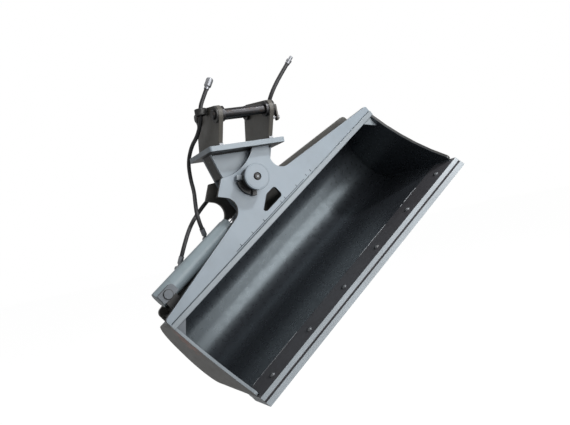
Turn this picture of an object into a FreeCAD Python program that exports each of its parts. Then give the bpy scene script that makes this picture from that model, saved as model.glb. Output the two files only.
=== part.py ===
import FreeCAD, Part
import math
import os
import re

import Sketcher
from FreeCAD import Placement, Rotation, Vector

# Tilting grading bucket with its hanger, in millimetres.
# Every piece is drawn in the pivot frame, where the tilt axis runs along Y through the origin,
# the front pivot plate's front face is at Y = 0, +X is to the right and +Z is up.
# The hanger stands level. The bucket hangs at its full tilt, with its left side down.
# The part's own origin is the centre of the front hitch pin.

# Each driving size: its name, its value and what it is.
SIZES = (
    ("bucket_width", 1500, "over the side plates"),
    ("max_tilt", 33.5, "degrees to each side, where a horn meets the base plate"),
    ("pivot_drop", 309, "tilt axis below the front hitch pin"),
    ("plate_set_back", 70, "front pivot plate's front face behind the front hitch pin"),
    ("running_gap", 0.3, "between faces that slide past each other"),
    ("fit_gap", 0.05, "round a pin in its bore"),
    ("pivot_plate_thick", 20, "front and rear pivot plates"),
    ("plate_space", 160, "between the two pivot plates"),
    ("arm_root_x", 195, "where an arm starts, from the tilt axis"),
    ("arm_root_drop", 81, "height of that point below the tilt axis"),
    ("horn_neck_x", 159, "narrowest part of a horn's outer edge"),
    ("horn_neck_rise", 24, "height of that point"),
    ("notch_radius", 62, "round notch between horn and arm"),
    ("crown_radius", 214, "shallow curve between the horns"),
    ("horn_outer", 124, "outer end of a horn's stop face, at full tilt"),
    ("horn_width", 87, "length of a horn's stop face"),
    ("arm_tip_drop", 165, "top of the front arms at the side plates"),
    ("arm_tip_round", 14, "rounded end of the front arms"),
    ("rear_arm_reach", 725, "end of the rear arms"),
    ("rear_arm_tip_drop", 152, "top of the rear arms at that end"),
    ("rear_arm_round", 25, "rounded end of the rear arms"),
    ("window_top", 104, "opening in the front plate, top edge"),
    ("window_foot", 164, "opening in the front plate, lower edge"),
    ("window_left", 60, "opening in the front plate, left end"),
    ("window_right", 64, "opening in the front plate, right end"),
    ("window_slant", 65, "length of its slanted left side, across"),
    ("window_round", 16, "opening in the front plate, corners"),
    ("mouth_drop", 224, "inside of the bucket's roof below the tilt axis"),
    ("mouth_height", 380, "inside of the bucket, roof to floor"),
    ("bucket_depth", 373, "inside of the bucket, front plate to back"),
    ("back_radius", 168, "inside of the shell's rolled back"),
    ("shell_thick", 10, "rolled shell"),
    ("side_plate_thick", 15, "side plates"),
    ("side_reach", 312, "side plates' lower front corner ahead of the front plate"),
    ("side_edge_radius", 875, "hollow front edge of the side plates"),
    ("side_foot_round", 14, "lower front corner of the side plates"),
    ("lip_height", 26, "bar along the top of the mouth"),
    ("lip_proud", 6, "that bar ahead of the front plate"),
    ("corner_leg", 60, "gussets in the mouth's top corners"),
    ("corner_thick", 10, "gussets in the mouth's top corners"),
    ("edge_thick", 25, "base edge and bolt-on edge"),
    ("edge_bevel", 12, "bevel along both edges"),
    ("base_edge_width", 151, "flat top of the base edge"),
    ("base_edge_ahead", 4, "base edge's flat ahead of the side plates"),
    ("bolt_edge_width", 165, "bolt-on edge"),
    ("edge_bolt_pitch", 255, "edge bolts"),
    ("edge_bolt_count", 6, "edge bolts"),
    ("edge_bolt_back", 58, "edge bolts behind the base edge's flat front"),
    ("edge_bolt_dia", 16, "edge bolts"),
    ("edge_head_dia", 30, "edge bolts' domed heads"),
    ("edge_head_rise", 9, "edge bolts' domed heads"),
    ("edge_nut_flats", 24, "edge nuts across flats"),
    ("edge_nut_thick", 13, "edge nuts"),
    ("boss_dia", 110, "front pivot boss"),
    ("boss_reach", 65, "front pivot boss ahead of the front plate"),
    ("rear_boss_dia", 100, "rear pivot boss"),
    ("rear_boss_reach", 15, "rear pivot boss behind the rear plate"),
    ("pivot_pin_dia", 50, "tilt pin"),
    ("cap_dia", 125, "pivot cap"),
    ("cap_thick", 12, "pivot cap"),
    ("cap_recess_dia", 38, "sunk seat of the cap's bolt"),
    ("cap_recess_deep", 5, "sunk seat of the cap's bolt"),
    ("pin_bolt_dia", 20, "bolts in the ends of the tilt pin"),
    ("pin_bolt_long", 45, "those bolts in the pin"),
    ("pin_bolt_flats", 28, "those bolts' heads across flats"),
    ("pin_bolt_head", 10, "those bolts' heads"),
    ("rear_washer_dia", 84, "rear pivot washer"),
    ("rear_washer_thick", 8, "rear pivot washer"),
    ("tube_dia", 90, "hanger's pivot tube"),
    ("bush_dia", 60, "outside of the pivot bushes"),
    ("bush_long", 42, "pivot bushes"),
    ("thrust_dia", 96, "thrust washers"),
    ("thrust_thick", 5, "front thrust washer"),
    ("lock_lug_wide", 22, "lugs beside the boss"),
    ("lock_lug_long", 29, "lugs beside the boss"),
    ("lock_lug_deep", 24, "lugs beside the boss, out from the front plate"),
    ("lock_plate_radius", 79, "round edge of the plate held between those lugs"),
    ("lock_plate_thick", 18, "plate held between those lugs"),
    ("base_plate_wide", 386, "hanger base plate"),
    ("base_plate_ahead", 50, "hanger base plate ahead of the front pivot plate"),
    ("base_plate_deep", 322, "hanger base plate, front to back"),
    ("base_plate_rise", 146, "underside of the base plate over the tilt axis"),
    ("base_plate_thick", 25, "hanger base plate"),
    ("base_plate_corner", 14, "hanger base plate's corners"),
    ("cheek_front", 45, "front cheek's front face"),
    ("cheek_thick", 20, "hanger cheeks"),
    ("cheek_space", 90, "between the hanger cheeks"),
    ("cheek_top", 160, "cheeks' half width under the base plate"),
    ("cheek_waist", 113, "cheeks' half width at the tilt axis"),
    ("hanger_side_thick", 12, "hanger's side plates"),
    ("hanger_side_foot", 30, "lower edge of the side plates over the tilt axis"),
    ("ear_outer", 139, "outer faces of the ears from the middle"),
    ("ear_thick", 22, "ears"),
    ("ear_front_foot", 25, "front of the ears' feet ahead of the front pivot plate"),
    ("ear_rear_foot", 268, "rear of the ears' feet"),
    ("hitch_pin_dia", 45, "hitch pins"),
    ("hitch_pin_over", 20, "hitch pins past the ears"),
    ("hitch_centres", 225, "between the hitch pins, front to back"),
    ("hitch_rise", 36, "rear hitch pin over the front one"),
    ("ear_boss_radius", 40, "ears round the hitch pins"),
    ("ear_ring_thick", 8, "rings on the outside of the ears"),
    ("spacer_radius", 36, "spacers inside the ears"),
    ("spacer_thick", 14, "spacers inside the ears"),
    ("keeper_long", 76, "hitch pin keepers"),
    ("keeper_wide", 30, "hitch pin keepers"),
    ("keeper_thick", 8, "hitch pin keepers"),
    ("keeper_bolt_dia", 12, "keeper bolts"),
    ("keeper_bolt_flats", 18, "keeper bolts' heads across flats"),
    ("foot_pad_deep", 18, "pads at the front of the ears' feet"),
    ("foot_pad_rise", 12, "pads at the front of the ears' feet"),
    ("rod_eye_drop", 115, "rod eye's pin below the tilt axis"),
    ("rod_pin_dia", 40, "rod eye's pin"),
    ("rod_pin_head", 52, "head on that pin"),
    ("cheek_eye_round", 42, "cheeks' round foot about that pin"),
    ("cylinder_pin_x", 652, "cylinder's base pin, left of the tilt axis"),
    ("cylinder_pin_drop", 102, "cylinder's base pin below the tilt axis"),
    ("cylinder_pin_dia", 35, "cylinder's base pin"),
    ("cylinder_pin_head", 46, "head on that pin"),
    ("barrel_dia", 85, "cylinder barrel"),
    ("barrel_bore", 70, "cylinder barrel"),
    ("base_end_over", 42, "cylinder's base end past its pin"),
    ("base_end_long", 50, "cylinder's base end, pin to bore"),
    ("barrel_end", 430, "end of the barrel from the base pin"),
    ("gland_long", 22, "gland on the barrel's end"),
    ("gland_dia", 80, "gland on the barrel's end"),
    ("rod_dia", 40, "cylinder rod"),
    ("piston_start", 155, "piston from the base pin, drawn in"),
    ("piston_long", 35, "piston"),
    ("rod_eye_radius", 34, "rod eye"),
    ("rod_eye_wide", 56, "rod eye"),
    ("rod_neck_dia", 52, "rod eye's neck"),
    ("rod_neck_long", 16, "rod eye's neck"),
    ("port_near", 138, "base port from the base pin"),
    ("port_far", 335, "rod port from the base pin"),
    ("port_dia", 28, "port bosses"),
    ("port_rise", 48, "end of the port bosses from the cylinder's axis"),
    ("port_lean", 22, "degrees of the port bosses above straight back"),
    ("near_hose_lean", 54, "degrees of the base port's hose from straight up"),
    ("far_hose_lean", 14, "degrees of the rod port's hose from straight up"),
    ("banjo_dia", 30, "hose eyes on the ports"),
    ("banjo_thick", 22, "hose eyes on the ports"),
    ("banjo_bolt_dia", 14, "bolts through the hose eyes"),
    ("banjo_bolt_flats", 22, "those bolts' heads across flats"),
    ("banjo_bolt_head", 8, "those bolts' heads"),
    ("stem_dia", 16, "necks of the hose eyes"),
    ("stem_end", 26, "end of those necks from the eyes' middle"),
    ("ferrule_dia", 25, "hose ferrules"),
    ("ferrule_end", 62, "end of the ferrules from the eyes' middle"),
    ("hose_dia", 20, "hoses"),
    ("socket_dia", 34, "sleeve of the left hose's coupling socket"),
    ("socket_long", 58, "coupling socket, over all"),
    ("socket_bore", 18, "mouth of the coupling socket"),
    ("socket_deep", 26, "mouth of the coupling socket"),
    ("plug_dia", 27, "collar of the right hose's coupling plug"),
    ("plug_body", 24, "coupling plug behind its nose"),
    ("plug_nose_dia", 17.5, "coupling plug's nose"),
    ("plug_nose_long", 22, "coupling plug's nose"),
    ("lug_wide", 64, "legs of the cylinder's lugs"),
    ("lug_rise", 28, "cylinder's lugs over their pin"),
    ("lug_thick", 20, "cylinder's lugs"),
    ("lug_gap", 1.5, "cylinder between its lugs"),
    ("lug_plate_thick", 10, "plate round the pin on the front lug"),
    ("lug_plate_left", 42, "plate's left end from the pin"),
    ("lug_plate_right", 48, "plate's right end from the pin"),
    ("lug_plate_foot", 21, "plate's lower edge below the pin"),
    ("lug_plate_round", 18, "plate's upper right corner"),
    ("end_plate_x", 712, "end plates between the arms, outer faces"),
    ("end_plate_thick", 12, "end plates between the arms"),
    ("end_plate_rise", 34, "end plates over the roof"),
    ("rib_x", 262, "ribs behind the rear plate, from the middle"),
    ("rib_thick", 15, "ribs behind the rear plate"),
    ("rib_rise", 70, "ribs' front edge over the roof"),
    ("guide_x", 169, "hose guide's middle, left of the middle"),
    ("guide_y", 36, "hose guide's middle"),
    ("guide_foot", 332, "hose guide's lower end over the tilt axis"),
    ("guide_tall", 32, "hose guide"),
    ("guide_dia", 56, "hose guide"),
    ("guide_bore", 40, "hose guide"),
    ("guide_web", 30, "web between hose guide and ear"),
)

doc = FreeCAD.newDocument("tilting_bucket")
sheet = doc.addObject("Spreadsheet::Sheet", "sizes")
for row, (alias, value, note) in enumerate(SIZES, start=1):
    sheet.set(f"A{row}", alias)
    sheet.set(f"B{row}", str(value))
    sheet.set(f"C{row}", note)
    sheet.setAlias(f"B{row}", alias)
doc.recompute()

ALIASES = {alias for alias, value, note in SIZES}
WORD = re.compile(r"[a-z_]+")

# Sizes that several pieces share, worked out from the driving ones.
REAR_PLATE = "(pivot_plate_thick + plate_space)"
REAR_FACE = "(2 * pivot_plate_thick + plate_space)"
CHEEK_INNER = "(cheek_front + cheek_thick)"
REAR_CHEEK = "(cheek_front + cheek_thick + cheek_space)"
CHEEK_BACK = "(cheek_front + 2 * cheek_thick + cheek_space)"
BASE_TOP = "(base_plate_rise + base_plate_thick)"
STOP_RISE = "(base_plate_rise - running_gap)"
HALF_WIDTH = "(bucket_width / 2)"
INSIDE = "(bucket_width / 2 - side_plate_thick)"
ROOF = "(mouth_drop - shell_thick)"
FLOOR = "(mouth_drop + mouth_height)"
BELLY = "(mouth_drop + mouth_height + shell_thick)"
# The rolled back, which leaves a flat strip where the mouth is low.
ROLL = "min(back_radius; 0.46 * mouth_height)"
ROLL_OUTSIDE = f"({ROLL} + shell_thick)"
BACK = "(bucket_depth + shell_thick)"
EDGE_FRONT = "(side_reach + base_edge_ahead)"
EDGE_REAR = "(side_reach + base_edge_ahead - base_edge_width)"
BOLT_Y = "(side_reach + base_edge_ahead - edge_bolt_back)"
PIN_REAR = "(2 * pivot_plate_thick + plate_space + rear_boss_reach)"
CYLINDER_Y = "(cheek_front + cheek_thick + cheek_space / 2)"
HITCH_Y = "(-plate_set_back)"
HITCH_Z = "pivot_drop"
REAR_HITCH_Y = "(hitch_centres - plate_set_back)"
REAR_HITCH_Z = "(pivot_drop + hitch_rise)"
EYE_X = "(-rod_eye_drop * sin(max_tilt))"
EYE_Z = "(-rod_eye_drop * cos(max_tilt))"
RUN_X = f"({EYE_X} + cylinder_pin_x)"
RUN_Z = f"({EYE_Z} + cylinder_pin_drop)"
CLOSED = f"(({RUN_X}^2 + {RUN_Z}^2)^0.5)"
BARREL_LEAN = f"atan({RUN_Z} / {RUN_X})"

PIVOT = "vector(0; plate_set_back; -pivot_drop)"
LEVEL = f"placement({PIVOT}; rotation(vector(0; 1; 0); 0))"
TILTED = f"placement({PIVOT}; rotation(vector(0; 1; 0); -max_tilt))"
ALONG_CYLINDER = (
    f"{TILTED} * placement(vector(-cylinder_pin_x; {CYLINDER_Y}; -cylinder_pin_drop); "
    f"rotation(vector(0; 1; 0); -{BARREL_LEAN}))"
)

PORT_SIDE = f"{ALONG_CYLINDER} * placement(vector(0; 0; 0); rotation(vector(1; 0; 0); port_lean - 90))"

PLANE_AXIS = {"XY_Plane": 1, "XZ_Plane": -1, "YZ_Plane": 1}
PARTS = []


def bound(text):
    """An expression with every size named in full."""
    return WORD.sub(lambda word: "sizes." + word.group() if word.group() in ALIASES else word.group(), text)


def number(text):
    """The present value of an expression on the sizes."""
    value = sheet.evalExpression(text)
    return float(getattr(value, "Value", value))


def new_body(name, place):
    """An empty body of its own name and place, whose solids may lie apart."""
    body = doc.addObject("PartDesign::Body", name)
    body.Label = name
    body.AllowCompound = True
    body.setExpression("Placement", bound(place))
    PARTS.append(body)
    return body


def origin_feature(body, role):
    """One of a body's own origin planes or axes."""
    return next(item for item in body.Origin.OriginFeatures if item.Role == role)


def new_sketch(body, role, start="0"):
    """A sketch on one of the body's origin planes, moved along that plane's axis to start."""
    sketch = body.newObject("Sketcher::SketchObject", body.Name + "_sketch")
    sketch.AttachmentSupport = (origin_feature(body, role), [""])
    sketch.MapMode = "FlatFace"
    sketch.setExpression("AttachmentOffset.Base.z", bound(f"{PLANE_AXIS[role]} * ({start})"))
    return sketch


def bind_point(sketch, index, end, across, up):
    """Ties one point of a sketch to two expressions."""
    for kind, text in (("DistanceX", across), ("DistanceY", up)):
        place = sketch.addConstraint(Sketcher.Constraint(kind, -1, 1, index, end, number(text)))
        sketch.setExpression(f"Constraints[{place}]", bound(text))


def bind_radius(sketch, index, radius):
    """Ties a circle's or arc's radius to an expression."""
    place = sketch.addConstraint(Sketcher.Constraint("Radius", index, number(radius)))
    sketch.setExpression(f"Constraints[{place}]", bound(radius))


def arc_between(start, end, radius, turn):
    """The short arc of a radius from start to end, turning left (1) or right (-1)."""
    chord = end - start
    half = chord.Length / 2
    sag = radius - math.sqrt(max(radius * radius - half * half, 0))
    left = Vector(-chord.y, chord.x, 0).normalize()
    return Part.Arc(start, (start + end) * 0.5 - left * sag * turn, end)


def draw_outline(sketch, points):
    """A closed outline. A point is (across, up), or (across, up, radius, turn) where an arc leaves it."""
    corners = [Vector(number(point[0]), number(point[1]), 0) for point in points]
    first = sketch.GeometryCount
    begins = []
    for index, point in enumerate(points):
        start = corners[index]
        end = corners[(index + 1) % len(points)]
        if len(point) == 2:
            sketch.addGeometry(Part.LineSegment(start, end), False)
            begins.append(1)
            continue
        sketch.addGeometry(arc_between(start, end, number(point[2]), point[3]), False)
        begins.append(1 if point[3] > 0 else 2)
    for index, point in enumerate(points):
        following = (index + 1) % len(points)
        here = first + index
        sketch.addConstraint(
            Sketcher.Constraint("Coincident", here, 3 - begins[index], first + following, begins[following])
        )
        bind_point(sketch, here, begins[index], point[0], point[1])
        if len(point) > 2:
            bind_radius(sketch, here, point[2])


def draw_circles(sketch, circles):
    """Circles, each given as (across, up, radius)."""
    for across, up, radius in circles:
        centre = Vector(number(across), number(up), 0)
        index = sketch.addGeometry(Part.Circle(centre, Vector(0, 0, 1), number(radius)), False)
        bind_point(sketch, index, 3, across, up)
        bind_radius(sketch, index, radius)


def pad(body, role, start, thick, outlines=(), circles=()):
    """Adds outlines and circles as a plate from start to start + thick along the plane's axis."""
    sketch = new_sketch(body, role, start)
    for points in outlines:
        draw_outline(sketch, points)
    draw_circles(sketch, circles)
    feature = body.newObject("PartDesign::Pad", body.Name + "_pad")
    feature.Profile = sketch
    feature.Reversed = PLANE_AXIS[role] < 0
    feature.setExpression("Length", bound(thick))
    doc.recompute()
    return feature


def pocket(body, role, start, deep, outlines=(), circles=()):
    """Cuts outlines and circles from start to start + deep along the plane's axis."""
    before = body.Shape.Volume
    sketch = new_sketch(body, role, start)
    for points in outlines:
        draw_outline(sketch, points)
    draw_circles(sketch, circles)
    feature = body.newObject("PartDesign::Pocket", body.Name + "_pocket")
    feature.Profile = sketch
    feature.Reversed = PLANE_AXIS[role] > 0
    feature.setExpression("Length", bound(deep))
    doc.recompute()
    if not body.Shape.Volume < before:
        raise RuntimeError(f"{body.Label}: a cut took nothing away")
    return feature


def revolve(body, profile, start="0"):
    """Turns a closed profile of (radius, height) points about the body's Z axis."""
    sketch = new_sketch(body, "XZ_Plane", start)
    draw_outline(sketch, profile)
    feature = body.newObject("PartDesign::Revolution", body.Name + "_turned")
    feature.Profile = sketch
    feature.ReferenceAxis = (sketch, ["V_Axis"])
    feature.Angle = 360
    doc.recompute()
    return feature


def ring(inner, outer, low, high):
    """The profile of a tube's wall, or of a plain bar where inner is 0."""
    return [(inner, low), (outer, low), (outer, high), (inner, high)]


def mirror(body, feature, role="YZ_Plane"):
    """Repeats features on the other side of one of the body's origin planes."""
    copy = body.newObject("PartDesign::Mirrored", body.Name + "_mirrored")
    copy.Originals = [feature]
    copy.MirrorPlane = (origin_feature(body, role), [""])
    body.Tip = copy
    doc.recompute()


def row_along_x(body, feature, pitch, count):
    """Repeats a feature in a row along the body's X axis."""
    copy = body.newObject("PartDesign::LinearPattern", body.Name + "_row")
    copy.Originals = [feature]
    copy.Direction = (origin_feature(body, "X_Axis"), [""])
    copy.setExpression("Length", bound(f"{pitch} * ({count} - 1)"))
    copy.setExpression("Occurrences", bound(count))
    body.Tip = copy
    doc.recompute()


def hexagon(flats, across="0", up="0"):
    """A hexagon's outline about a point, from its width across flats."""
    corners = []
    for step in range(6):
        angle = 60 * step + 30
        reach = f"({flats}) / 2 / cos(30)"
        corners.append((f"({across}) + {reach} * cos({angle})", f"({up}) + {reach} * sin({angle})"))
    return corners


def round_edges(body, feature, spots, radius, axis):
    """Rounds the edges that run along an axis through the given points of the cross plane."""
    names = []
    others = [index for index in range(3) if index != axis]
    for spot in spots:
        wanted = [number(text) for text in spot]
        for index, edge in enumerate(feature.Shape.Edges, start=1):
            ends = [vertex.Point for vertex in edge.Vertexes]
            if len(ends) == 2 and all(
                abs(end[other] - want) < 0.01 for end in ends for other, want in zip(others, wanted)
            ):
                names.append(f"Edge{index}")
    if len(names) < len(spots):
        raise RuntimeError(f"{body.Label}: an edge to round was not found")
    fillet = body.newObject("PartDesign::Fillet", body.Name + "_round")
    fillet.Base = (feature, names)
    fillet.setExpression("Radius", bound(radius))
    doc.recompute()
    return fillet


def tangent_point(foot, centre, radius, side):
    """Where a line from foot touches a circle: on its left (1) or right (-1), seen from the foot."""
    across = f"({centre[0]} - {foot[0]})"
    up = f"({centre[1]} - {foot[1]})"
    reach = f"(({across}^2 + {up}^2)^0.5)"
    angle = f"(atan2({up}; {across}) + {side} * asin({radius} / {reach}))"
    run = f"(({across}^2 + {up}^2 - {radius}^2)^0.5)"
    return f"{foot[0]} + {run} * cos({angle})", f"{foot[1]} + {run} * sin({angle})"


def at(place, across="0", back="0", up="0", turn="rotation(vector(0; 1; 0); 0)"):
    """A place moved by three expressions, then turned."""
    return f"{place} * placement(vector({across}; {back}; {up}); {turn})"


ABOUT_Y = "rotation(vector(1; 0; 0); -90)"
ABOUT_X = "rotation(vector(0; 1; 0); 90)"


# Hanger

def hanger_base_plate():
    """The level plate that carries the ears and stops the bucket's horns."""
    body = new_body("base_plate", LEVEL)
    half = "base_plate_wide / 2"
    front = "-base_plate_ahead"
    back = "(base_plate_deep - base_plate_ahead)"
    outline = [(f"-{half}", front), (half, front), (half, back), (f"-{half}", back)]
    plate = pad(body, "XY_Plane", "base_plate_rise", "base_plate_thick", [outline])
    round_edges(body, plate, outline, "base_plate_corner", 2)


def hanger_cheeks():
    """Two keystone plates under the base plate that hold the pivot tube and the rod eye's pin."""
    eye = ("0", "(-rod_eye_drop)")
    outline = [
        ("-cheek_top", "base_plate_rise"),
        ("-cheek_waist", "0"),
        (*tangent_point(("(-cheek_waist)", "0"), eye, "cheek_eye_round", "-1"), "cheek_eye_round", 1),
        tangent_point(("cheek_waist", "0"), eye, "cheek_eye_round", "1"),
        ("cheek_waist", "0"),
        ("cheek_top", "base_plate_rise"),
    ]
    for name, start in (("front_cheek", "cheek_front"), ("rear_cheek", REAR_CHEEK)):
        body = new_body(name, LEVEL)
        pad(body, "XZ_Plane", start, "cheek_thick", [outline])
        bores = [("0", "0", "tube_dia / 2"), ("0", "-rod_eye_drop", "rod_pin_dia / 2 + fit_gap")]
        pocket(body, "XZ_Plane", start, "cheek_thick", circles=bores)


def hanger_sides():
    """The slanted plates that close the box between the cheeks."""
    foot = "(cheek_waist + (cheek_top - cheek_waist) * hanger_side_foot / base_plate_rise)"
    for name, side in (("hanger_side_left", "-1"), ("hanger_side_right", "1")):
        body = new_body(name, LEVEL)
        outline = [
            (f"{side} * cheek_top", "base_plate_rise"),
            (f"{side} * (cheek_top - hanger_side_thick)", "base_plate_rise"),
            (f"{side} * ({foot} - hanger_side_thick)", "hanger_side_foot"),
            (f"{side} * {foot}", "hanger_side_foot"),
        ]
        pad(body, "XZ_Plane", CHEEK_INNER, "cheek_space", [outline])


def hanger_pivot():
    """The pivot tube through both cheeks, its two bushes and the thrust washers at its ends."""
    tube = new_body("pivot_tube", at(LEVEL, turn=ABOUT_Y))
    revolve(tube, ring("bush_dia / 2", "tube_dia / 2", "cheek_front", CHEEK_BACK))
    bore = "(pivot_pin_dia / 2 + fit_gap)"
    bushes = new_body("pivot_bushes", at(LEVEL, turn=ABOUT_Y))
    revolve(bushes, ring(bore, "bush_dia / 2", "cheek_front", "cheek_front + bush_long"))
    revolve(bushes, ring(bore, "bush_dia / 2", f"{CHEEK_BACK} - bush_long", CHEEK_BACK))
    washers = new_body("thrust_washers", at(LEVEL, turn=ABOUT_Y))
    inner = "(pivot_pin_dia / 2 + running_gap)"
    revolve(washers, ring(inner, "thrust_dia / 2", "cheek_front - running_gap - thrust_thick", "cheek_front - running_gap"))
    revolve(washers, ring(inner, "thrust_dia / 2", f"{CHEEK_BACK} + running_gap", f"{REAR_PLATE} - running_gap"))


def rod_pin_ends():
    """The ends of the rod eye's pin that sit in the cheeks, the front one with its head."""
    body = new_body("rod_pin_ends", at(LEVEL, up="-rod_eye_drop", turn=ABOUT_Y))
    radius = "rod_pin_dia / 2"
    head = "rod_pin_head / 2"
    profile = [
        ("0", "cheek_front - thrust_thick"),
        (head, "cheek_front - thrust_thick"),
        (head, "cheek_front"),
        (radius, "cheek_front"),
        (radius, f"{CHEEK_INNER} - running_gap"),
        ("0", f"{CHEEK_INNER} - running_gap"),
    ]
    revolve(body, profile)
    revolve(body, ring("0", radius, f"{REAR_CHEEK} + running_gap", CHEEK_BACK))


def ears():
    """The two plates that the hitch pins go through, leaning forward."""
    front_foot = ("(-ear_front_foot)", BASE_TOP)
    rear_foot = ("ear_rear_foot", BASE_TOP)
    front_pin = (HITCH_Y, HITCH_Z)
    rear_pin = (REAR_HITCH_Y, REAR_HITCH_Z)
    front_touch = tangent_point(front_foot, front_pin, "ear_boss_radius", "1")
    rear_touch = tangent_point(rear_foot, rear_pin, "ear_boss_radius", "-1")
    span = "((hitch_centres^2 + hitch_rise^2)^0.5)"
    lean = (f"-ear_boss_radius * hitch_rise / {span}", f"+ ear_boss_radius * hitch_centres / {span}")
    front_top = tuple(pin + shift for pin, shift in zip(front_pin, lean))
    rear_top = tuple(pin + shift for pin, shift in zip(rear_pin, lean))
    outline = [
        front_foot,
        rear_foot,
        (*rear_touch, "ear_boss_radius", 1),
        rear_top,
        (*front_top, "ear_boss_radius", 1),
        front_touch,
    ]
    bores = [(*front_pin, "hitch_pin_dia / 2 + fit_gap"), (*rear_pin, "hitch_pin_dia / 2 + fit_gap")]
    for name, start in (("ear_left", "-ear_outer"), ("ear_right", "ear_outer - ear_thick")):
        body = new_body(name, LEVEL)
        pad(body, "YZ_Plane", start, "ear_thick", [outline])
        pocket(body, "YZ_Plane", start, "ear_thick", circles=bores)
    pads = new_body("ear_foot_pads", LEVEL)
    lean = f"(({front_touch[0]} + ear_front_foot) / ({front_touch[1]} - {BASE_TOP}))"
    top = f"-ear_front_foot + {lean} * foot_pad_rise"
    block = [
        ("-ear_front_foot - foot_pad_deep", BASE_TOP),
        ("-ear_front_foot", BASE_TOP),
        (top, f"{BASE_TOP} + foot_pad_rise"),
        (f"{top} - foot_pad_deep / 4", f"{BASE_TOP} + foot_pad_rise"),
    ]
    mirror(pads, pad(pads, "YZ_Plane", "ear_outer - ear_thick", "ear_thick", [block]))


def hitch_pins():
    """Both hitch pins with the rings, spacers, keepers and keeper bolts that hold them."""
    pins = ((HITCH_Y, HITCH_Z), (REAR_HITCH_Y, REAR_HITCH_Z))
    reach = "(ear_outer + hitch_pin_over)"
    for name, (back, up) in zip(("front_hitch_pin", "rear_hitch_pin"), pins):
        body = new_body(name, at(LEVEL, back=back, up=up, turn=ABOUT_X))
        revolve(body, ring("0", "hitch_pin_dia / 2", f"-{reach}", reach))
    rings = (
        ("ear_rings", "ear_outer", "ear_boss_radius - 2 * running_gap", "ear_ring_thick"),
        ("pin_spacers", "ear_outer - ear_thick - spacer_thick", "spacer_radius", "spacer_thick"),
    )
    for name, start, outer, thick in rings:
        body = new_body(name, LEVEL)
        discs = [(*pin, outer) for pin in pins] + [(*pin, "hitch_pin_dia / 2 + fit_gap") for pin in pins]
        mirror(body, pad(body, "YZ_Plane", start, thick, circles=discs))
    keepers = new_body("pin_keepers", LEVEL)
    bolts = new_body("keeper_bolts", LEVEL)
    heads = []
    plates = []
    shanks = []
    for back, up in pins:
        low = f"({up} - ear_boss_radius - keeper_bolt_dia / 2)"
        plates.append([
            (f"{back} - keeper_wide / 2", f"{low} - keeper_wide / 2"),
            (f"{back} + keeper_wide / 2", f"{low} - keeper_wide / 2"),
            (f"{back} + keeper_wide / 2", f"{low} - keeper_wide / 2 + keeper_long"),
            (f"{back} - keeper_wide / 2", f"{low} - keeper_wide / 2 + keeper_long"),
        ])
        heads.append(hexagon("keeper_bolt_flats", back, low))
        shanks.append((back, low, "keeper_bolt_dia / 2"))
    pad(keepers, "YZ_Plane", reach, "keeper_thick", plates)
    pocket(keepers, "YZ_Plane", reach, "keeper_thick", circles=[(*spot[:2], f"{spot[2]} + fit_gap") for spot in shanks])
    pad(bolts, "YZ_Plane", f"{reach} + keeper_thick", "keeper_thick", heads)
    pad(bolts, "YZ_Plane", "ear_outer", "hitch_pin_over + keeper_thick", circles=shanks)


def hose_guide():
    """The short tube on the left ear that one hose runs through."""
    body = new_body("hose_guide", LEVEL)
    middle = ("-guide_x", "guide_y")
    pad(body, "XY_Plane", "guide_foot", "guide_tall", circles=[(*middle, "guide_dia / 2")])
    inner = "(guide_bore / 4 + guide_dia / 4 - guide_x)"
    web = [
        (inner, "guide_y - guide_web / 2"),
        ("-ear_outer", "guide_y - guide_web / 2"),
        ("-ear_outer", "guide_y + guide_web / 2"),
        (inner, "guide_y + guide_web / 2"),
    ]
    pad(body, "XY_Plane", "guide_foot", "guide_tall", [web])
    pocket(body, "XY_Plane", "guide_foot", "guide_tall", circles=[(*middle, "guide_bore / 2")])


# Bucket

def stop_corner(reach):
    """A point of a horn's stop face, turned back from full tilt to the level bucket."""
    return (
        f"({reach}) * cos(max_tilt) + {STOP_RISE} * sin(max_tilt)",
        f"{STOP_RISE} * cos(max_tilt) - ({reach}) * sin(max_tilt)",
    )


def mirrored_outline(right_half):
    """A whole outline from its right half, given from the foot upwards."""
    left_half = []
    for index in range(len(right_half) - 1, -1, -1):
        across, up = right_half[index][:2]
        arc = right_half[index - 1][2:] if index > 0 else ()
        left_half.append((f"-({across})", up, *arc))
    return right_half + left_half


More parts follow.
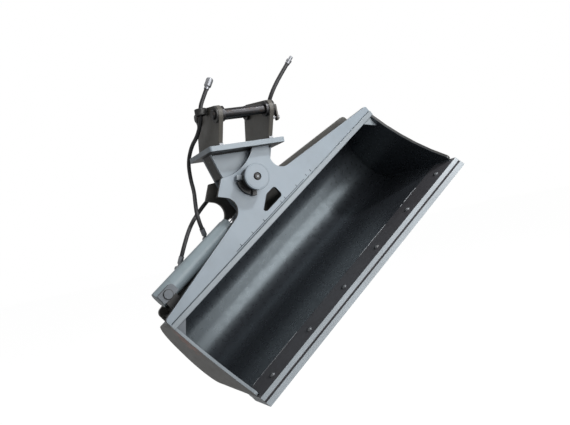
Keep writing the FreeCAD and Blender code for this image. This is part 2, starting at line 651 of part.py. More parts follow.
def pivot_plates():
    """The front and rear plates with their horns, round notches and arms."""
    horn = [
        ("arm_root_x", "-arm_root_drop", "notch_radius", -1),
        ("horn_neck_x", "horn_neck_rise"),
        stop_corner("horn_outer"),
        (*stop_corner("horn_outer - horn_width"), "crown_radius", -1),
    ]
    front = new_body("front_pivot_plate", TILTED)
    foot = "-mouth_drop + lip_height"
    half = [(HALF_WIDTH, foot), (HALF_WIDTH, "-arm_tip_drop"), *horn]
    plate = pad(front, "XZ_Plane", "0", "pivot_plate_thick", [mirrored_outline(half)])
    tips = [(HALF_WIDTH, "-arm_tip_drop"), (f"-{HALF_WIDTH}", "-arm_tip_drop")]
    round_edges(front, plate, tips, "arm_tip_round", 1)
    cut = pocket(front, "XZ_Plane", "0", "pivot_plate_thick", circles=[("0", "0", "boss_dia / 2")])
    window = [
        ("-window_left", "-window_foot"),
        ("window_right", "-window_foot"),
        ("window_right", "-window_top"),
        ("window_slant - window_left", "-window_top"),
        ("-window_left", "-window_foot + 1.1 * window_round"),
    ]
    cut = pocket(front, "XZ_Plane", "0", "pivot_plate_thick", [window])
    round_edges(front, cut, window[:4], "window_round", 1)
    rear = new_body("rear_pivot_plate", TILTED)
    tip = ("rear_arm_reach", "-rear_arm_tip_drop")
    half = [("rear_arm_reach", f"-{ROOF}"), tip, *horn]
    plate = pad(rear, "XZ_Plane", REAR_PLATE, "pivot_plate_thick", [mirrored_outline(half)])
    tips = [tip, ("-rear_arm_reach", tip[1])]
    plate = round_edges(rear, plate, tips, "rear_arm_round", 1)
    pocket(rear, "XZ_Plane", REAR_PLATE, "pivot_plate_thick", circles=[("0", "0", "rear_boss_dia / 2")])


def bucket_shell():
    """The rolled shell: roof, round back and floor, open to the front."""
    body = new_body("bucket_shell", TILTED)
    outer = [(BACK, f"-{BELLY}"), (BACK, f"-{ROOF}")]
    inner = [("bucket_depth", "-mouth_drop"), ("bucket_depth", f"-{FLOOR}")]
    outline = [
        (f"-{EDGE_REAR}", f"-{BELLY}"),
        *outer,
        ("pivot_plate_thick", f"-{ROOF}"),
        ("pivot_plate_thick", "-mouth_drop"),
        *inner,
        (f"-{EDGE_REAR}", f"-{FLOOR}"),
    ]
    wall = pad(body, "YZ_Plane", f"-{INSIDE}", f"2 * {INSIDE}", [outline])
    wall = round_edges(body, wall, outer, ROLL_OUTSIDE, 0)
    inner_edges = [(across, up) for across, up in inner]
    round_edges(body, wall, inner_edges, ROLL, 0)


def side_plates():
    """The end walls, with a rolled back and a hollow front edge."""
    outer = [(BACK, f"-{BELLY}"), (BACK, f"-{ROOF}")]
    outline = [
        (f"-{EDGE_REAR}", f"-{BELLY}"),
        *outer,
        ("pivot_plate_thick", f"-{ROOF}"),
        ("pivot_plate_thick", "-mouth_drop"),
        ("0", "-mouth_drop", "side_edge_radius", -1),
        ("-side_reach", f"-{FLOOR}"),
        (f"-{EDGE_REAR}", f"-{FLOOR}"),
    ]
    for name, start in (("side_plate_left", f"-{HALF_WIDTH}"), ("side_plate_right", INSIDE)):
        body = new_body(name, TILTED)
        plate = pad(body, "YZ_Plane", start, "side_plate_thick", [outline])
        plate = round_edges(body, plate, outer, ROLL_OUTSIDE, 0)
        round_edges(body, plate, [("-side_reach", f"-{FLOOR}")], "side_foot_round", 0)


def mouth_top():
    """The bar along the top of the mouth and the gussets in its corners."""
    lip = new_body("mouth_lip_bar", TILTED)
    outline = [
        ("-lip_proud", "-mouth_drop"),
        ("pivot_plate_thick", "-mouth_drop"),
        ("pivot_plate_thick", "-mouth_drop + lip_height"),
        ("-lip_proud", "-mouth_drop + lip_height"),
    ]
    pad(lip, "YZ_Plane", f"-{HALF_WIDTH}", "bucket_width", [outline])
    gussets = new_body("corner_gussets", TILTED)
    triangle = [
        (INSIDE, "-mouth_drop"),
        (f"{INSIDE} - corner_leg", "-mouth_drop"),
        (INSIDE, "-mouth_drop - corner_leg"),
    ]
    mirror(gussets, pad(gussets, "XZ_Plane", "pivot_plate_thick / 2", "corner_thick", [triangle]))


def cutting_edges():
    """The base edge, the bolt-on edge under it, and the bolts and nuts that hold them together."""
    first = "(-(edge_bolt_count - 1) / 2 * edge_bolt_pitch)"
    hole = (first, f"-{BOLT_Y}", "edge_bolt_dia / 2 + fit_gap")
    middle = f"-{FLOOR} - edge_thick"
    low = f"-{FLOOR} - 2 * edge_thick"
    base = new_body("base_edge", TILTED)
    outline = [
        (f"-{EDGE_REAR}", f"-{FLOOR}"),
        (f"-{EDGE_FRONT}", f"-{FLOOR}"),
        (f"-{EDGE_FRONT} - edge_bevel", middle),
        (f"-{EDGE_REAR}", middle),
    ]
    pad(base, "YZ_Plane", f"-{HALF_WIDTH}", "bucket_width", [outline])
    holes = pocket(base, "XY_Plane", middle, "edge_thick", circles=[hole])
    row_along_x(base, holes, "edge_bolt_pitch", "edge_bolt_count")
    bolt_on = new_body("bolt_on_edge", TILTED)
    outline = [
        (f"-{EDGE_FRONT} - edge_bevel", middle),
        (f"-{EDGE_FRONT} - 2 * edge_bevel", low),
        (f"-{EDGE_FRONT} - 2 * edge_bevel + bolt_edge_width", low),
        (f"-{EDGE_FRONT} - 2 * edge_bevel + bolt_edge_width", middle),
    ]
    pad(bolt_on, "YZ_Plane", f"-{HALF_WIDTH}", "bucket_width", [outline])
    holes = pocket(bolt_on, "XY_Plane", low, "edge_thick", circles=[hole])
    row_along_x(bolt_on, holes, "edge_bolt_pitch", "edge_bolt_count")
    spot = at(TILTED, first, f"-{BOLT_Y}", f"-{FLOOR}")
    bolts = new_body("edge_bolts", spot)
    head = "edge_head_dia / 2"
    shank = "edge_bolt_dia / 2"
    tip = "-2 * edge_thick - 1.3 * edge_nut_thick"
    dome = "(edge_head_rise / 2 + edge_head_dia^2 / 8 / edge_head_rise)"
    profile = [("0", tip), (shank, tip), (shank, "0"), (head, "0", dome, 1), ("0", "edge_head_rise")]
    row_along_x(bolts, revolve(bolts, profile), "edge_bolt_pitch", "edge_bolt_count")
    nuts = new_body("edge_nuts", spot)
    nut = pad(
        nuts, "XY_Plane", "-2 * edge_thick - edge_nut_thick", "edge_nut_thick",
        [hexagon("edge_nut_flats")], [("0", "0", "edge_bolt_dia / 2 + fit_gap")],
    )
    row_along_x(nuts, nut, "edge_bolt_pitch", "edge_bolt_count")


def bucket_pivot():
    """The bosses in the pivot plates, the tilt pin, its cap, rear washer, bolts, nipple and lugs."""
    turned = at(TILTED, turn=ABOUT_Y)
    pin_radius = "pivot_pin_dia / 2"
    bore = "(pivot_pin_dia / 2 + fit_gap)"
    inner_end = "cheek_front - thrust_thick - 2 * running_gap"
    revolve(new_body("pivot_boss_front", turned), ring(bore, "boss_dia / 2", "-boss_reach", inner_end))
    revolve(new_body("pivot_boss_rear", turned), ring(bore, "rear_boss_dia / 2", REAR_PLATE, PIN_REAR))
    pin = new_body("pivot_pin", turned)
    revolve(pin, ring("0", pin_radius, "-boss_reach", PIN_REAR))
    tapped = [("0", "0", "pin_bolt_dia / 2 + fit_gap")]
    pocket(pin, "XY_Plane", "-boss_reach", "pin_bolt_long", circles=tapped)
    pocket(pin, "XY_Plane", f"{PIN_REAR} - pin_bolt_long", "pin_bolt_long", circles=tapped)
    cap = new_body("pivot_cap", turned)
    outer = "cap_dia / 2"
    face = "-boss_reach - cap_thick"
    seat = "cap_recess_dia / 2"
    hole = "(pin_bolt_dia / 2 + fit_gap)"
    chamfer = "(cap_thick / 6)"
    profile = [
        (hole, "-boss_reach"),
        (outer, "-boss_reach"),
        (outer, f"{face} + {chamfer}"),
        (f"{outer} - {chamfer}", face),
        (seat, face),
        (seat, f"{face} + cap_recess_deep"),
        (hole, f"{face} + cap_recess_deep"),
    ]
    revolve(cap, profile)
    washer = new_body("rear_pivot_washer", turned)
    revolve(washer, ring(hole, "rear_washer_dia / 2", PIN_REAR, f"{PIN_REAR} + rear_washer_thick"))
    shank = [("0", "0", "pin_bolt_dia / 2")]
    bolt = new_body("pivot_cap_bolt", turned)
    seat_face = f"({face} + cap_recess_deep)"
    pad(bolt, "XY_Plane", f"{seat_face} - pin_bolt_head", "pin_bolt_head", [hexagon("pin_bolt_flats")])
    pad(bolt, "XY_Plane", seat_face, f"-boss_reach - {seat_face} + pin_bolt_long - running_gap", circles=shank)
    bolt = new_body("rear_pivot_bolt", turned)
    start = f"{PIN_REAR} - pin_bolt_long + running_gap"
    pad(bolt, "XY_Plane", start, "pin_bolt_long - running_gap + rear_washer_thick", circles=shank)
    pad(bolt, "XY_Plane", f"{PIN_REAR} + rear_washer_thick", "pin_bolt_head", [hexagon("pin_bolt_flats")])
    lugs = new_body("boss_lugs", TILTED)
    near = "(boss_dia / 2 * 0.96)"
    outlines = []
    for angle in (137, 231):
        side = f"lock_lug_wide / 2"
        far = f"({near} + lock_lug_long)"
        corners = ((near, f"-{side}"), (far, f"-{side}"), (far, side), (near, side))
        outlines.append([
            (f"({out}) * cos({angle}) - ({over}) * sin({angle})", f"({out}) * sin({angle}) + ({over}) * cos({angle})")
            for out, over in corners
        ])
    pad(lugs, "XZ_Plane", "-lock_lug_deep", "lock_lug_deep", outlines)
    pocket(lugs, "XZ_Plane", "-lock_lug_deep", "lock_lug_deep", circles=[("0", "0", "boss_dia / 2")])
    between = new_body("lock_plate", TILTED)
    inner, outer = "boss_dia / 2", "lock_plate_radius"
    outline = [
        (f"{outer} * cos(150)", f"{outer} * sin(150)", outer, 1),
        (f"{outer} * cos(218)", f"{outer} * sin(218)"),
        (f"{inner} * cos(218)", f"{inner} * sin(218)", inner, -1),
        (f"{inner} * cos(150)", f"{inner} * sin(150)"),
    ]
    pad(between, "XZ_Plane", "-lock_plate_thick", "lock_plate_thick", [outline])


def back_of_bucket():
    """The end plates between the arms and the ribs between the rear plate and the rolled back."""
    for name, start in (("end_plate_left", "-end_plate_x"), ("end_plate_right", "end_plate_x - end_plate_thick")):
        body = new_body(name, TILTED)
        outline = [
            ("pivot_plate_thick", f"-{ROOF}"),
            (REAR_PLATE, f"-{ROOF}"),
            (REAR_PLATE, f"-{ROOF} + end_plate_rise"),
            ("pivot_plate_thick", f"-{ROOF} + end_plate_rise / 2"),
        ]
        pad(body, "YZ_Plane", start, "end_plate_thick", [outline])
    ribs = new_body("rear_ribs", TILTED)
    outer = ROLL_OUTSIDE
    centre = (f"({BACK} - {outer})", f"(-{ROOF} - {outer})")
    reach = 50
    outline = [
        (REAR_FACE, f"-{ROOF}"),
        (centre[0], f"-{ROOF}", outer, -1),
        (f"{centre[0]} + {outer} * sin({reach})", f"{centre[1]} + {outer} * cos({reach})"),
        (REAR_FACE, f"-{ROOF} + rib_rise"),
    ]
    mirror(ribs, pad(ribs, "YZ_Plane", "rib_x", "rib_thick", [outline]))


# Tilt cylinder

def cylinder_mount():
    """The two lugs on the bucket's roof and the pin through them and the cylinder's base end."""
    half = "lug_wide / 2"
    top = "-cylinder_pin_drop + lug_rise"
    leg = [
        (f"-cylinder_pin_x - {half}", f"-{ROOF}"),
        (f"-cylinder_pin_x + {half}", f"-{ROOF}"),
        (f"-cylinder_pin_x + {half}", top),
        (f"-cylinder_pin_x - {half}", top),
    ]
    corner = ("-cylinder_pin_x + lug_plate_right", top)
    plate = [
        ("-cylinder_pin_x - lug_plate_left", "-cylinder_pin_drop - lug_plate_foot"),
        ("-cylinder_pin_x + lug_plate_right", "-cylinder_pin_drop - lug_plate_foot"),
        corner,
        ("-cylinder_pin_x - lug_plate_left", top),
    ]
    hole = ("-cylinder_pin_x", "-cylinder_pin_drop", "cylinder_pin_dia / 2 + fit_gap")
    front = f"({CYLINDER_Y} - barrel_dia / 2 - lug_gap - lug_thick)"
    rear = f"({CYLINDER_Y} + barrel_dia / 2 + lug_gap)"
    body = new_body("cylinder_lug_front", TILTED)
    round_edges(body, pad(body, "XZ_Plane", front, "lug_plate_thick", [plate]), [corner], "lug_plate_round", 1)
    pad(body, "XZ_Plane", f"{front} + lug_plate_thick", "lug_thick - lug_plate_thick", [leg])
    pocket(body, "XZ_Plane", front, "lug_thick", circles=[hole])
    body = new_body("cylinder_lug_rear", TILTED)
    pad(body, "XZ_Plane", rear, "lug_thick", [leg])
    pocket(body, "XZ_Plane", rear, "lug_thick", circles=[hole])
    pin = new_body("cylinder_base_pin", at(TILTED, "-cylinder_pin_x", "0", "-cylinder_pin_drop", ABOUT_Y))
    radius = "cylinder_pin_dia / 2"
    head = "cylinder_pin_head / 2"
    profile = [
        ("0", f"{front} - lug_thick / 3"),
        (head, f"{front} - lug_thick / 3"),
        (head, front),
        (radius, front),
        (radius, f"{rear} + lug_thick"),
        ("0", f"{rear} + lug_thick"),
    ]
    revolve(pin, profile)


def cylinder_barrel():
    """The barrel with its solid base end, port bosses and gland."""
    base = new_body("cylinder_base_end", at(ALONG_CYLINDER, turn=ABOUT_X))
    radius = "(barrel_dia / 2)"
    revolve(base, ring("0", radius, "-base_end_over", "base_end_long"))
    hole = [("0", "0", "cylinder_pin_dia / 2 + fit_gap")]
    pocket(base, "XZ_Plane", f"-{radius}", "barrel_dia", circles=hole)
    barrel = new_body("cylinder_barrel", ALONG_CYLINDER)
    wall = [("0", "0", radius), ("0", "0", "barrel_bore / 2")]
    pad(barrel, "YZ_Plane", "base_end_long", "barrel_end - base_end_long", circles=wall)
    seats = new_body("port_bosses", PORT_SIDE)
    ports = [(spot, "0", "port_dia / 2") for spot in ("port_near", "port_far")]
    rise = "(barrel_dia / 2 * 0.95)"
    pad(seats, "XY_Plane", rise, f"port_rise - {rise}", circles=ports)
    tapped = [(spot, "0", "banjo_bolt_dia / 2 + fit_gap") for spot in ("port_near", "port_far")]
    pocket(seats, "XY_Plane", "0", "port_rise", circles=tapped)
    run = "(port_far - port_near + 2 * port_dia)"
    pocket(seats, "YZ_Plane", "port_near - port_dia", run, circles=[("0", "0", "barrel_dia / 2")])
    gland = new_body("cylinder_gland", at(ALONG_CYLINDER, turn=ABOUT_X))
    revolve(gland, ring("rod_dia / 2 + fit_gap", "gland_dia / 2", "barrel_end", "barrel_end + gland_long"))


def cylinder_rod():
    """The piston, rod, rod eye and the middle of the rod eye's pin, drawn in."""
    eye_start = f"({CLOSED} - rod_eye_radius - rod_neck_long)"
    rod = new_body("cylinder_rod", at(ALONG_CYLINDER, turn=ABOUT_X))
    revolve(rod, ring("0", "rod_dia / 2", "piston_start + piston_long", eye_start))
    piston = new_body("cylinder_piston", at(ALONG_CYLINDER, turn=ABOUT_X))
    revolve(piston, ring("0", "barrel_bore / 2 - fit_gap", "piston_start", "piston_start + piston_long"))
    eye = new_body("rod_eye", at(ALONG_CYLINDER, CLOSED))
    pad(eye, "XZ_Plane", "-rod_eye_wide / 2", "rod_eye_wide", circles=[("0", "0", "rod_eye_radius")])
    neck_start = "(-rod_eye_radius - rod_neck_long)"
    pad(eye, "YZ_Plane", neck_start, "rod_neck_long + rod_eye_radius / 2", circles=[("0", "0", "rod_neck_dia / 2")])
    bore = [("0", "0", "rod_pin_dia / 2 + fit_gap")]
    pocket(eye, "XZ_Plane", "-rod_eye_wide", "2 * rod_eye_wide", circles=bore)
    pin = new_body("rod_eye_pin", at(ALONG_CYLINDER, CLOSED, turn=ABOUT_Y))
    half = "(cheek_space / 2 - running_gap)"
    revolve(pin, ring("0", "rod_pin_dia / 2", f"-{half}", half))


def hose_fittings():
    """The hose eyes on the ports, each with its neck and ferrule, and the bolts through them."""
    ports = (("port_near", "near_hose_lean"), ("port_far", "far_hose_lean"))
    body = new_body("hose_fittings", PORT_SIDE)
    eyes = [(spot, "0", "banjo_dia / 2") for spot, lean in ports]
    pad(body, "XY_Plane", "port_rise", "banjo_thick", circles=eyes)
    for spot, lean in ports:
        profile = [
            ("0", "banjo_dia / 4"),
            ("stem_dia / 2", "banjo_dia / 4"),
            ("stem_dia / 2", "stem_end"),
            ("ferrule_dia / 2", "stem_end"),
            ("ferrule_dia / 2", "ferrule_end"),
            ("0", "ferrule_end"),
        ]
        turned = [
            (f"{spot} + ({out}) * cos({lean}) + ({along}) * sin({lean})", f"({out}) * sin({lean}) - ({along}) * cos({lean})")
            for out, along in profile
        ]
        sketch = new_sketch(body, "XY_Plane", "port_rise + banjo_thick / 2")
        draw_outline(sketch, turned)
        stem = body.newObject("PartDesign::Revolution", body.Name + "_stem")
        stem.Profile = sketch
        stem.ReferenceAxis = (sketch, [f"Edge{len(turned)}"])
        stem.Angle = 360
        doc.recompute()
    holes = [(spot, "0", "banjo_bolt_dia / 2 + fit_gap") for spot, lean in ports]
    pocket(body, "XY_Plane", "port_rise", "banjo_thick", circles=holes)
    bolts = new_body("port_bolts", PORT_SIDE)
    shanks = [(spot, "0", "banjo_bolt_dia / 2") for spot, lean in ports]
    pad(bolts, "XY_Plane", "barrel_dia / 2", "port_rise + banjo_thick - barrel_dia / 2", circles=shanks)
    heads = [hexagon("banjo_bolt_flats", spot) for spot, lean in ports]
    pad(bolts, "XY_Plane", "port_rise + banjo_thick", "banjo_bolt_head", heads)


# Hoses

def arc_path(points):
    """A wire of straight runs joined by tangent arcs, each as large as its two runs allow."""
    share = 0.45
    edges = []
    radii = []
    here = points[0]
    for before, corner, after in zip(points, points[1:], points[2:]):
        into = corner - before
        out = after - corner
        half_turn = into.getAngle(out) / 2
        back = share * min(into.Length, out.Length)
        radii.append(back / math.tan(half_turn))
        into.normalize()
        out.normalize()
        start = corner - into * back
        end = corner + out * back
        bisector = (out - into).normalize()
        middle = corner + bisector * (radii[-1] / math.cos(half_turn) - radii[-1])
        edges.append(Part.LineSegment(here, start).toShape())
        edges.append(Part.Arc(start, middle, end).toShape())
        here = end
    edges.append(Part.LineSegment(here, points[-1]).toShape())
    return Part.Wire(edges), radii


def hose(name, points):
    """A hose along a route of points in the pivot frame."""
    path, radii = arc_path(points)
    radius = number("hose_dia") / 2
    direction = points[1] - points[0]
    section = Part.Wire(Part.makeCircle(radius, points[0], direction))
    solid = path.makePipeShell([section], True, False)
    wanted = math.pi * radius**2 * path.Length
    if abs(solid.Volume / wanted - 1) > 0.01:
        raise RuntimeError(f"{name}: the hose's volume is off")
    print(name, "length", round(path.Length), "radii", [round(value) for value in radii])
    feature = doc.addObject("Part::Feature", name)
    feature.Label = name
    feature.Shape = solid
    feature.Placement = Placement(Vector(0, number("plate_set_back"), -number("pivot_drop")), Rotation())
    PARTS.append(feature)


def port_mouth(spot, lean):
    """The middle of a ferrule's end and its direction, in the pivot frame."""
    pivot = Placement(Vector(), Rotation(Vector(0, 1, 0), -number("max_tilt")))
    base = Vector(-number("cylinder_pin_x"), number(CYLINDER_Y), -number("cylinder_pin_drop"))
    along = pivot * Placement(base, Rotation(Vector(0, 1, 0), -number(BARREL_LEAN)))
    along = along * Placement(Vector(), Rotation(Vector(1, 0, 0), number("port_lean") - 90))
    out = Vector(number(f"sin({lean})"), -number(f"cos({lean})"), 0)
    eye = Vector(number(spot), 0, number("port_rise + banjo_thick / 2"))
    return along * (eye + out * number("ferrule_end")), along.Rotation * out


# Straight run of a hose out of its ferrule, in millimetres.
HOSE_EXIT = 64

# Routes from the couplings to the ferrules, in the pivot frame.
LEFT_ROUTE = (
    (-121, 30, 452), (-146, 31, 411), (-167, 34, 372), (-172, 42, 316), (-178, 110, 256),
    (-182, 225, 226), (-187, 312, 160), (-197, 296, 72), (-209, 244, 4), (-236, 176, -44),
)
RIGHT_ROUTE = (
    (286, -50, 518), (224, -50, 452), (168, -46, 378), (156, 0, 318), (160, 92, 280), (166, 200, 246),
    (160, 306, 190), (116, 336, 112), (30, 318, 52), (-66, 272, 4), (-150, 226, -46), (-222, 205, -102),
    (-280, 186, -158),
)


def hoses():
    """Both hoses and the halves of their quick couplings."""
    socket = "socket_dia / 2"
    mouth = "socket_bore / 2"
    collar = "plug_dia / 2"
    nose = "plug_nose_dia / 2"
    halves = {
        "coupling_socket": [
            ("0", "0"),
            ("hose_dia / 2 + 2", "0"),
            ("hose_dia / 2 + 2", "socket_long * 0.2"),
            (socket, "socket_long * 0.3"),
            (socket, "socket_long * 0.9"),
            ("socket_dia / 2 - 3", "socket_long"),
            (mouth, "socket_long"),
            (mouth, "socket_long - socket_deep"),
            ("0", "socket_long - socket_deep"),
        ],
        "coupling_plug": [
            ("0", "0"),
            ("hose_dia / 2 + 2", "0"),
            ("hose_dia / 2 + 2", "plug_body * 0.6"),
            (collar, "plug_body * 0.6"),
            (collar, "plug_body"),
            (nose, "plug_body"),
            (nose, "plug_body + plug_nose_long"),
            ("0", "plug_body + plug_nose_long"),
        ],
    }
    sides = (
        ("left", LEFT_ROUTE, "port_far", "far_hose_lean", "coupling_socket"),
        ("right", RIGHT_ROUTE, "port_near", "near_hose_lean", "coupling_plug"),
    )
    for side, route, spot, lean, half in sides:
        mouth, direction = port_mouth(spot, lean)
        points = [Vector(*point) for point in route]
        points = points + [mouth + direction * HOSE_EXIT, mouth]
        hose(f"hose_{side}", points)
        body = new_body(half, LEVEL)
        body.setExpression("Placement", None)
        revolve(body, halves[half])
        pivot = Placement(Vector(0, number("plate_set_back"), -number("pivot_drop")), Rotation())
        body.Placement = pivot * Placement(points[0], Rotation(Vector(0, 0, 1), points[0] - points[1]))


hanger_base_plate()
hanger_cheeks()
hanger_sides()
hanger_pivot()
rod_pin_ends()
ears()
hitch_pins()
hose_guide()
pivot_plates()
bucket_shell()
side_plates()
mouth_top()
cutting_edges()
bucket_pivot()
back_of_bucket()
cylinder_mount()
cylinder_barrel()
cylinder_rod()
hose_fittings()
hoses()
doc.recompute()

for item in doc.Objects:
    if "Invalid" in item.State or "Error" in item.State:
        raise RuntimeError(f"{item.Label} did not build: {item.State}")
os.makedirs("parts", exist_ok=True)
for part in PARTS:
    if part.Shape.isNull() or not part.Shape.isValid():
        raise RuntimeError(f"{part.Label} has no valid shape")
    part.Shape.exportStep(os.path.join("parts", part.Label + ".step"))
print(len(PARTS), "pieces")
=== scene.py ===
"""Tilting grading bucket on its hanger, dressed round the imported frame."""

from __future__ import annotations

import logging
import math
from collections.abc import Callable, Iterable, Sequence
from dataclasses import dataclass, field
from enum import Enum

import bmesh
import bpy
from mathutils import Matrix, Vector

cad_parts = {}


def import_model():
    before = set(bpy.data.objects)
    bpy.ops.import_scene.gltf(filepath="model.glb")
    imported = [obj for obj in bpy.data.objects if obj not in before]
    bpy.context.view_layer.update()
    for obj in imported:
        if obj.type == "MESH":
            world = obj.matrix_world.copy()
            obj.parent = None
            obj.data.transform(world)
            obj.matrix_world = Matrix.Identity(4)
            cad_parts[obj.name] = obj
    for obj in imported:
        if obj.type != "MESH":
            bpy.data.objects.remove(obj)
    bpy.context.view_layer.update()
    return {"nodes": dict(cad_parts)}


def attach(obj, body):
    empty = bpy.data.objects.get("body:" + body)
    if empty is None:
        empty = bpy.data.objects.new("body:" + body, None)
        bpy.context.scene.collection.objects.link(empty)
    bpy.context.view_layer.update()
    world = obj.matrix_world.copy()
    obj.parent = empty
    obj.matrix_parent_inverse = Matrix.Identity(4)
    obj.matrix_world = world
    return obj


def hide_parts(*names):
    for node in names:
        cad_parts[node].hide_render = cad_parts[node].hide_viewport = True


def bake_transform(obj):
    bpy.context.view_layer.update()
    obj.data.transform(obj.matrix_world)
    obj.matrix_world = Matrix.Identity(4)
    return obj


LOG = logging.getLogger("bucket")

# Sizes are in millimetres in each group's own frame; a group's place turns them into metres.
FULL_TILT = math.radians(33.5)
LEVEL = Matrix.Translation((0.0, 0.070, -0.309)) @ Matrix.Scale(0.001, 4)
TILTED = LEVEL @ Matrix.Rotation(-FULL_TILT, 4, "Y")
CYLINDER_LEAN = math.radians(0.594146)
BASE_PIN = Vector((-652.0, 0.0, -102.0))
CYLINDER_MIDDLE = Vector((0.0, 110.0, 0.0))
ALONG_CYLINDER = (
    TILTED @ Matrix.Translation(BASE_PIN + CYLINDER_MIDDLE) @ Matrix.Rotation(-CYLINDER_LEAN, 4, "Y")
)
PORT_SIDE = ALONG_CYLINDER @ Matrix.Rotation(math.radians(22.0 - 90.0), 4, "X")
ABOUT_Y = Matrix.Rotation(-math.pi / 2, 4, "X")
ABOUT_X = Matrix.Rotation(math.pi / 2, 4, "Y")

ARC_STEP = math.radians(6.0)
SHARP = math.radians(28.0)
SMOOTH = math.radians(38.0)

# A weld bead's narrow part as a share of its leg, its ripples' extra width, and its taper at the far end.
BEAD_WAIST = 0.7
RIPPLE = 1.28
BEAD_TAPER = 0.7

SCUFFED = (0.42, 0.42, 0.40)
DUST = (0.30, 0.27, 0.22)
RUST = (0.36, 0.155, 0.105)


class Plane(Enum):
    """The plane that an outline lies in, as a matrix from (across, up, depth)."""

    FRONT = Matrix(((1, 0, 0, 0), (0, 0, 1, 0), (0, 1, 0, 0), (0, 0, 0, 1)))
    SIDE = Matrix(((0, 0, 1, 0), (1, 0, 0, 0), (0, 1, 0, 0), (0, 0, 0, 1)))
    TOP = Matrix(((1, 0, 0, 0), (0, 1, 0, 0), (0, 0, 1, 0), (0, 0, 0, 1)))


@dataclass(frozen=True)
class Corner:
    """A corner of an outline.

    Args:
        across: first coordinate in the outline's plane.
        up: second coordinate.
        arc: radius of the arc that leaves this corner, positive where it turns left.
        soft: radius that rounds this corner off.
    """

    across: float
    up: float
    arc: float = 0.0
    soft: float = 0.0

    @property
    def point(self) -> Vector:
        """The corner as a vector."""
        return Vector((self.across, self.up, 0.0))


def mirrored(half: Sequence[Corner]) -> list[Corner]:
    """A whole outline from its right half, given from the foot upwards.

    Args:
        half: the right half's corners.

    Returns:
        The corners of both halves in order.
    """
    left = []
    for index in range(len(half) - 1, -1, -1):
        arc = half[index - 1].arc if index > 0 else 0.0
        left.append(Corner(-half[index].across, half[index].up, arc, half[index].soft))
    return [*half, *left]


def softened(corners: Sequence[Corner]) -> list[Corner]:
    """Replaces each corner with a soft radius by the two ends of its arc.

    Args:
        corners: the outline's corners, in order.

    Returns:
        The same outline, made of plain corners and arcs.
    """
    result = []
    count = len(corners)
    for index, corner in enumerate(corners):
        if not corner.soft:
            result.append(corner)
            continue
        before = (corners[index - 1].point - corner.point).normalized()
        after = (corners[(index + 1) % count].point - corner.point).normalized()
        half = before.angle(after) / 2
        back = corner.soft / math.tan(half)
        start = corner.point + before * back
        end = corner.point + after * back
        turn = 1.0 if (-before).cross(after).z > 0 else -1.0
        result.append(Corner(start.x, start.y, corner.soft * turn))
        result.append(Corner(end.x, end.y))
    return result


def shown(name: str, data: bpy.types.ID) -> bpy.types.Object:
    """Makes an object and adds it to the scene.

    Args:
        name: the object's name.
        data: its mesh, curve, camera or lamp.

    Returns:
        The object.
    """
    made = bpy.data.objects.new(name, data)
    bpy.context.scene.collection.objects.link(made)
    return made


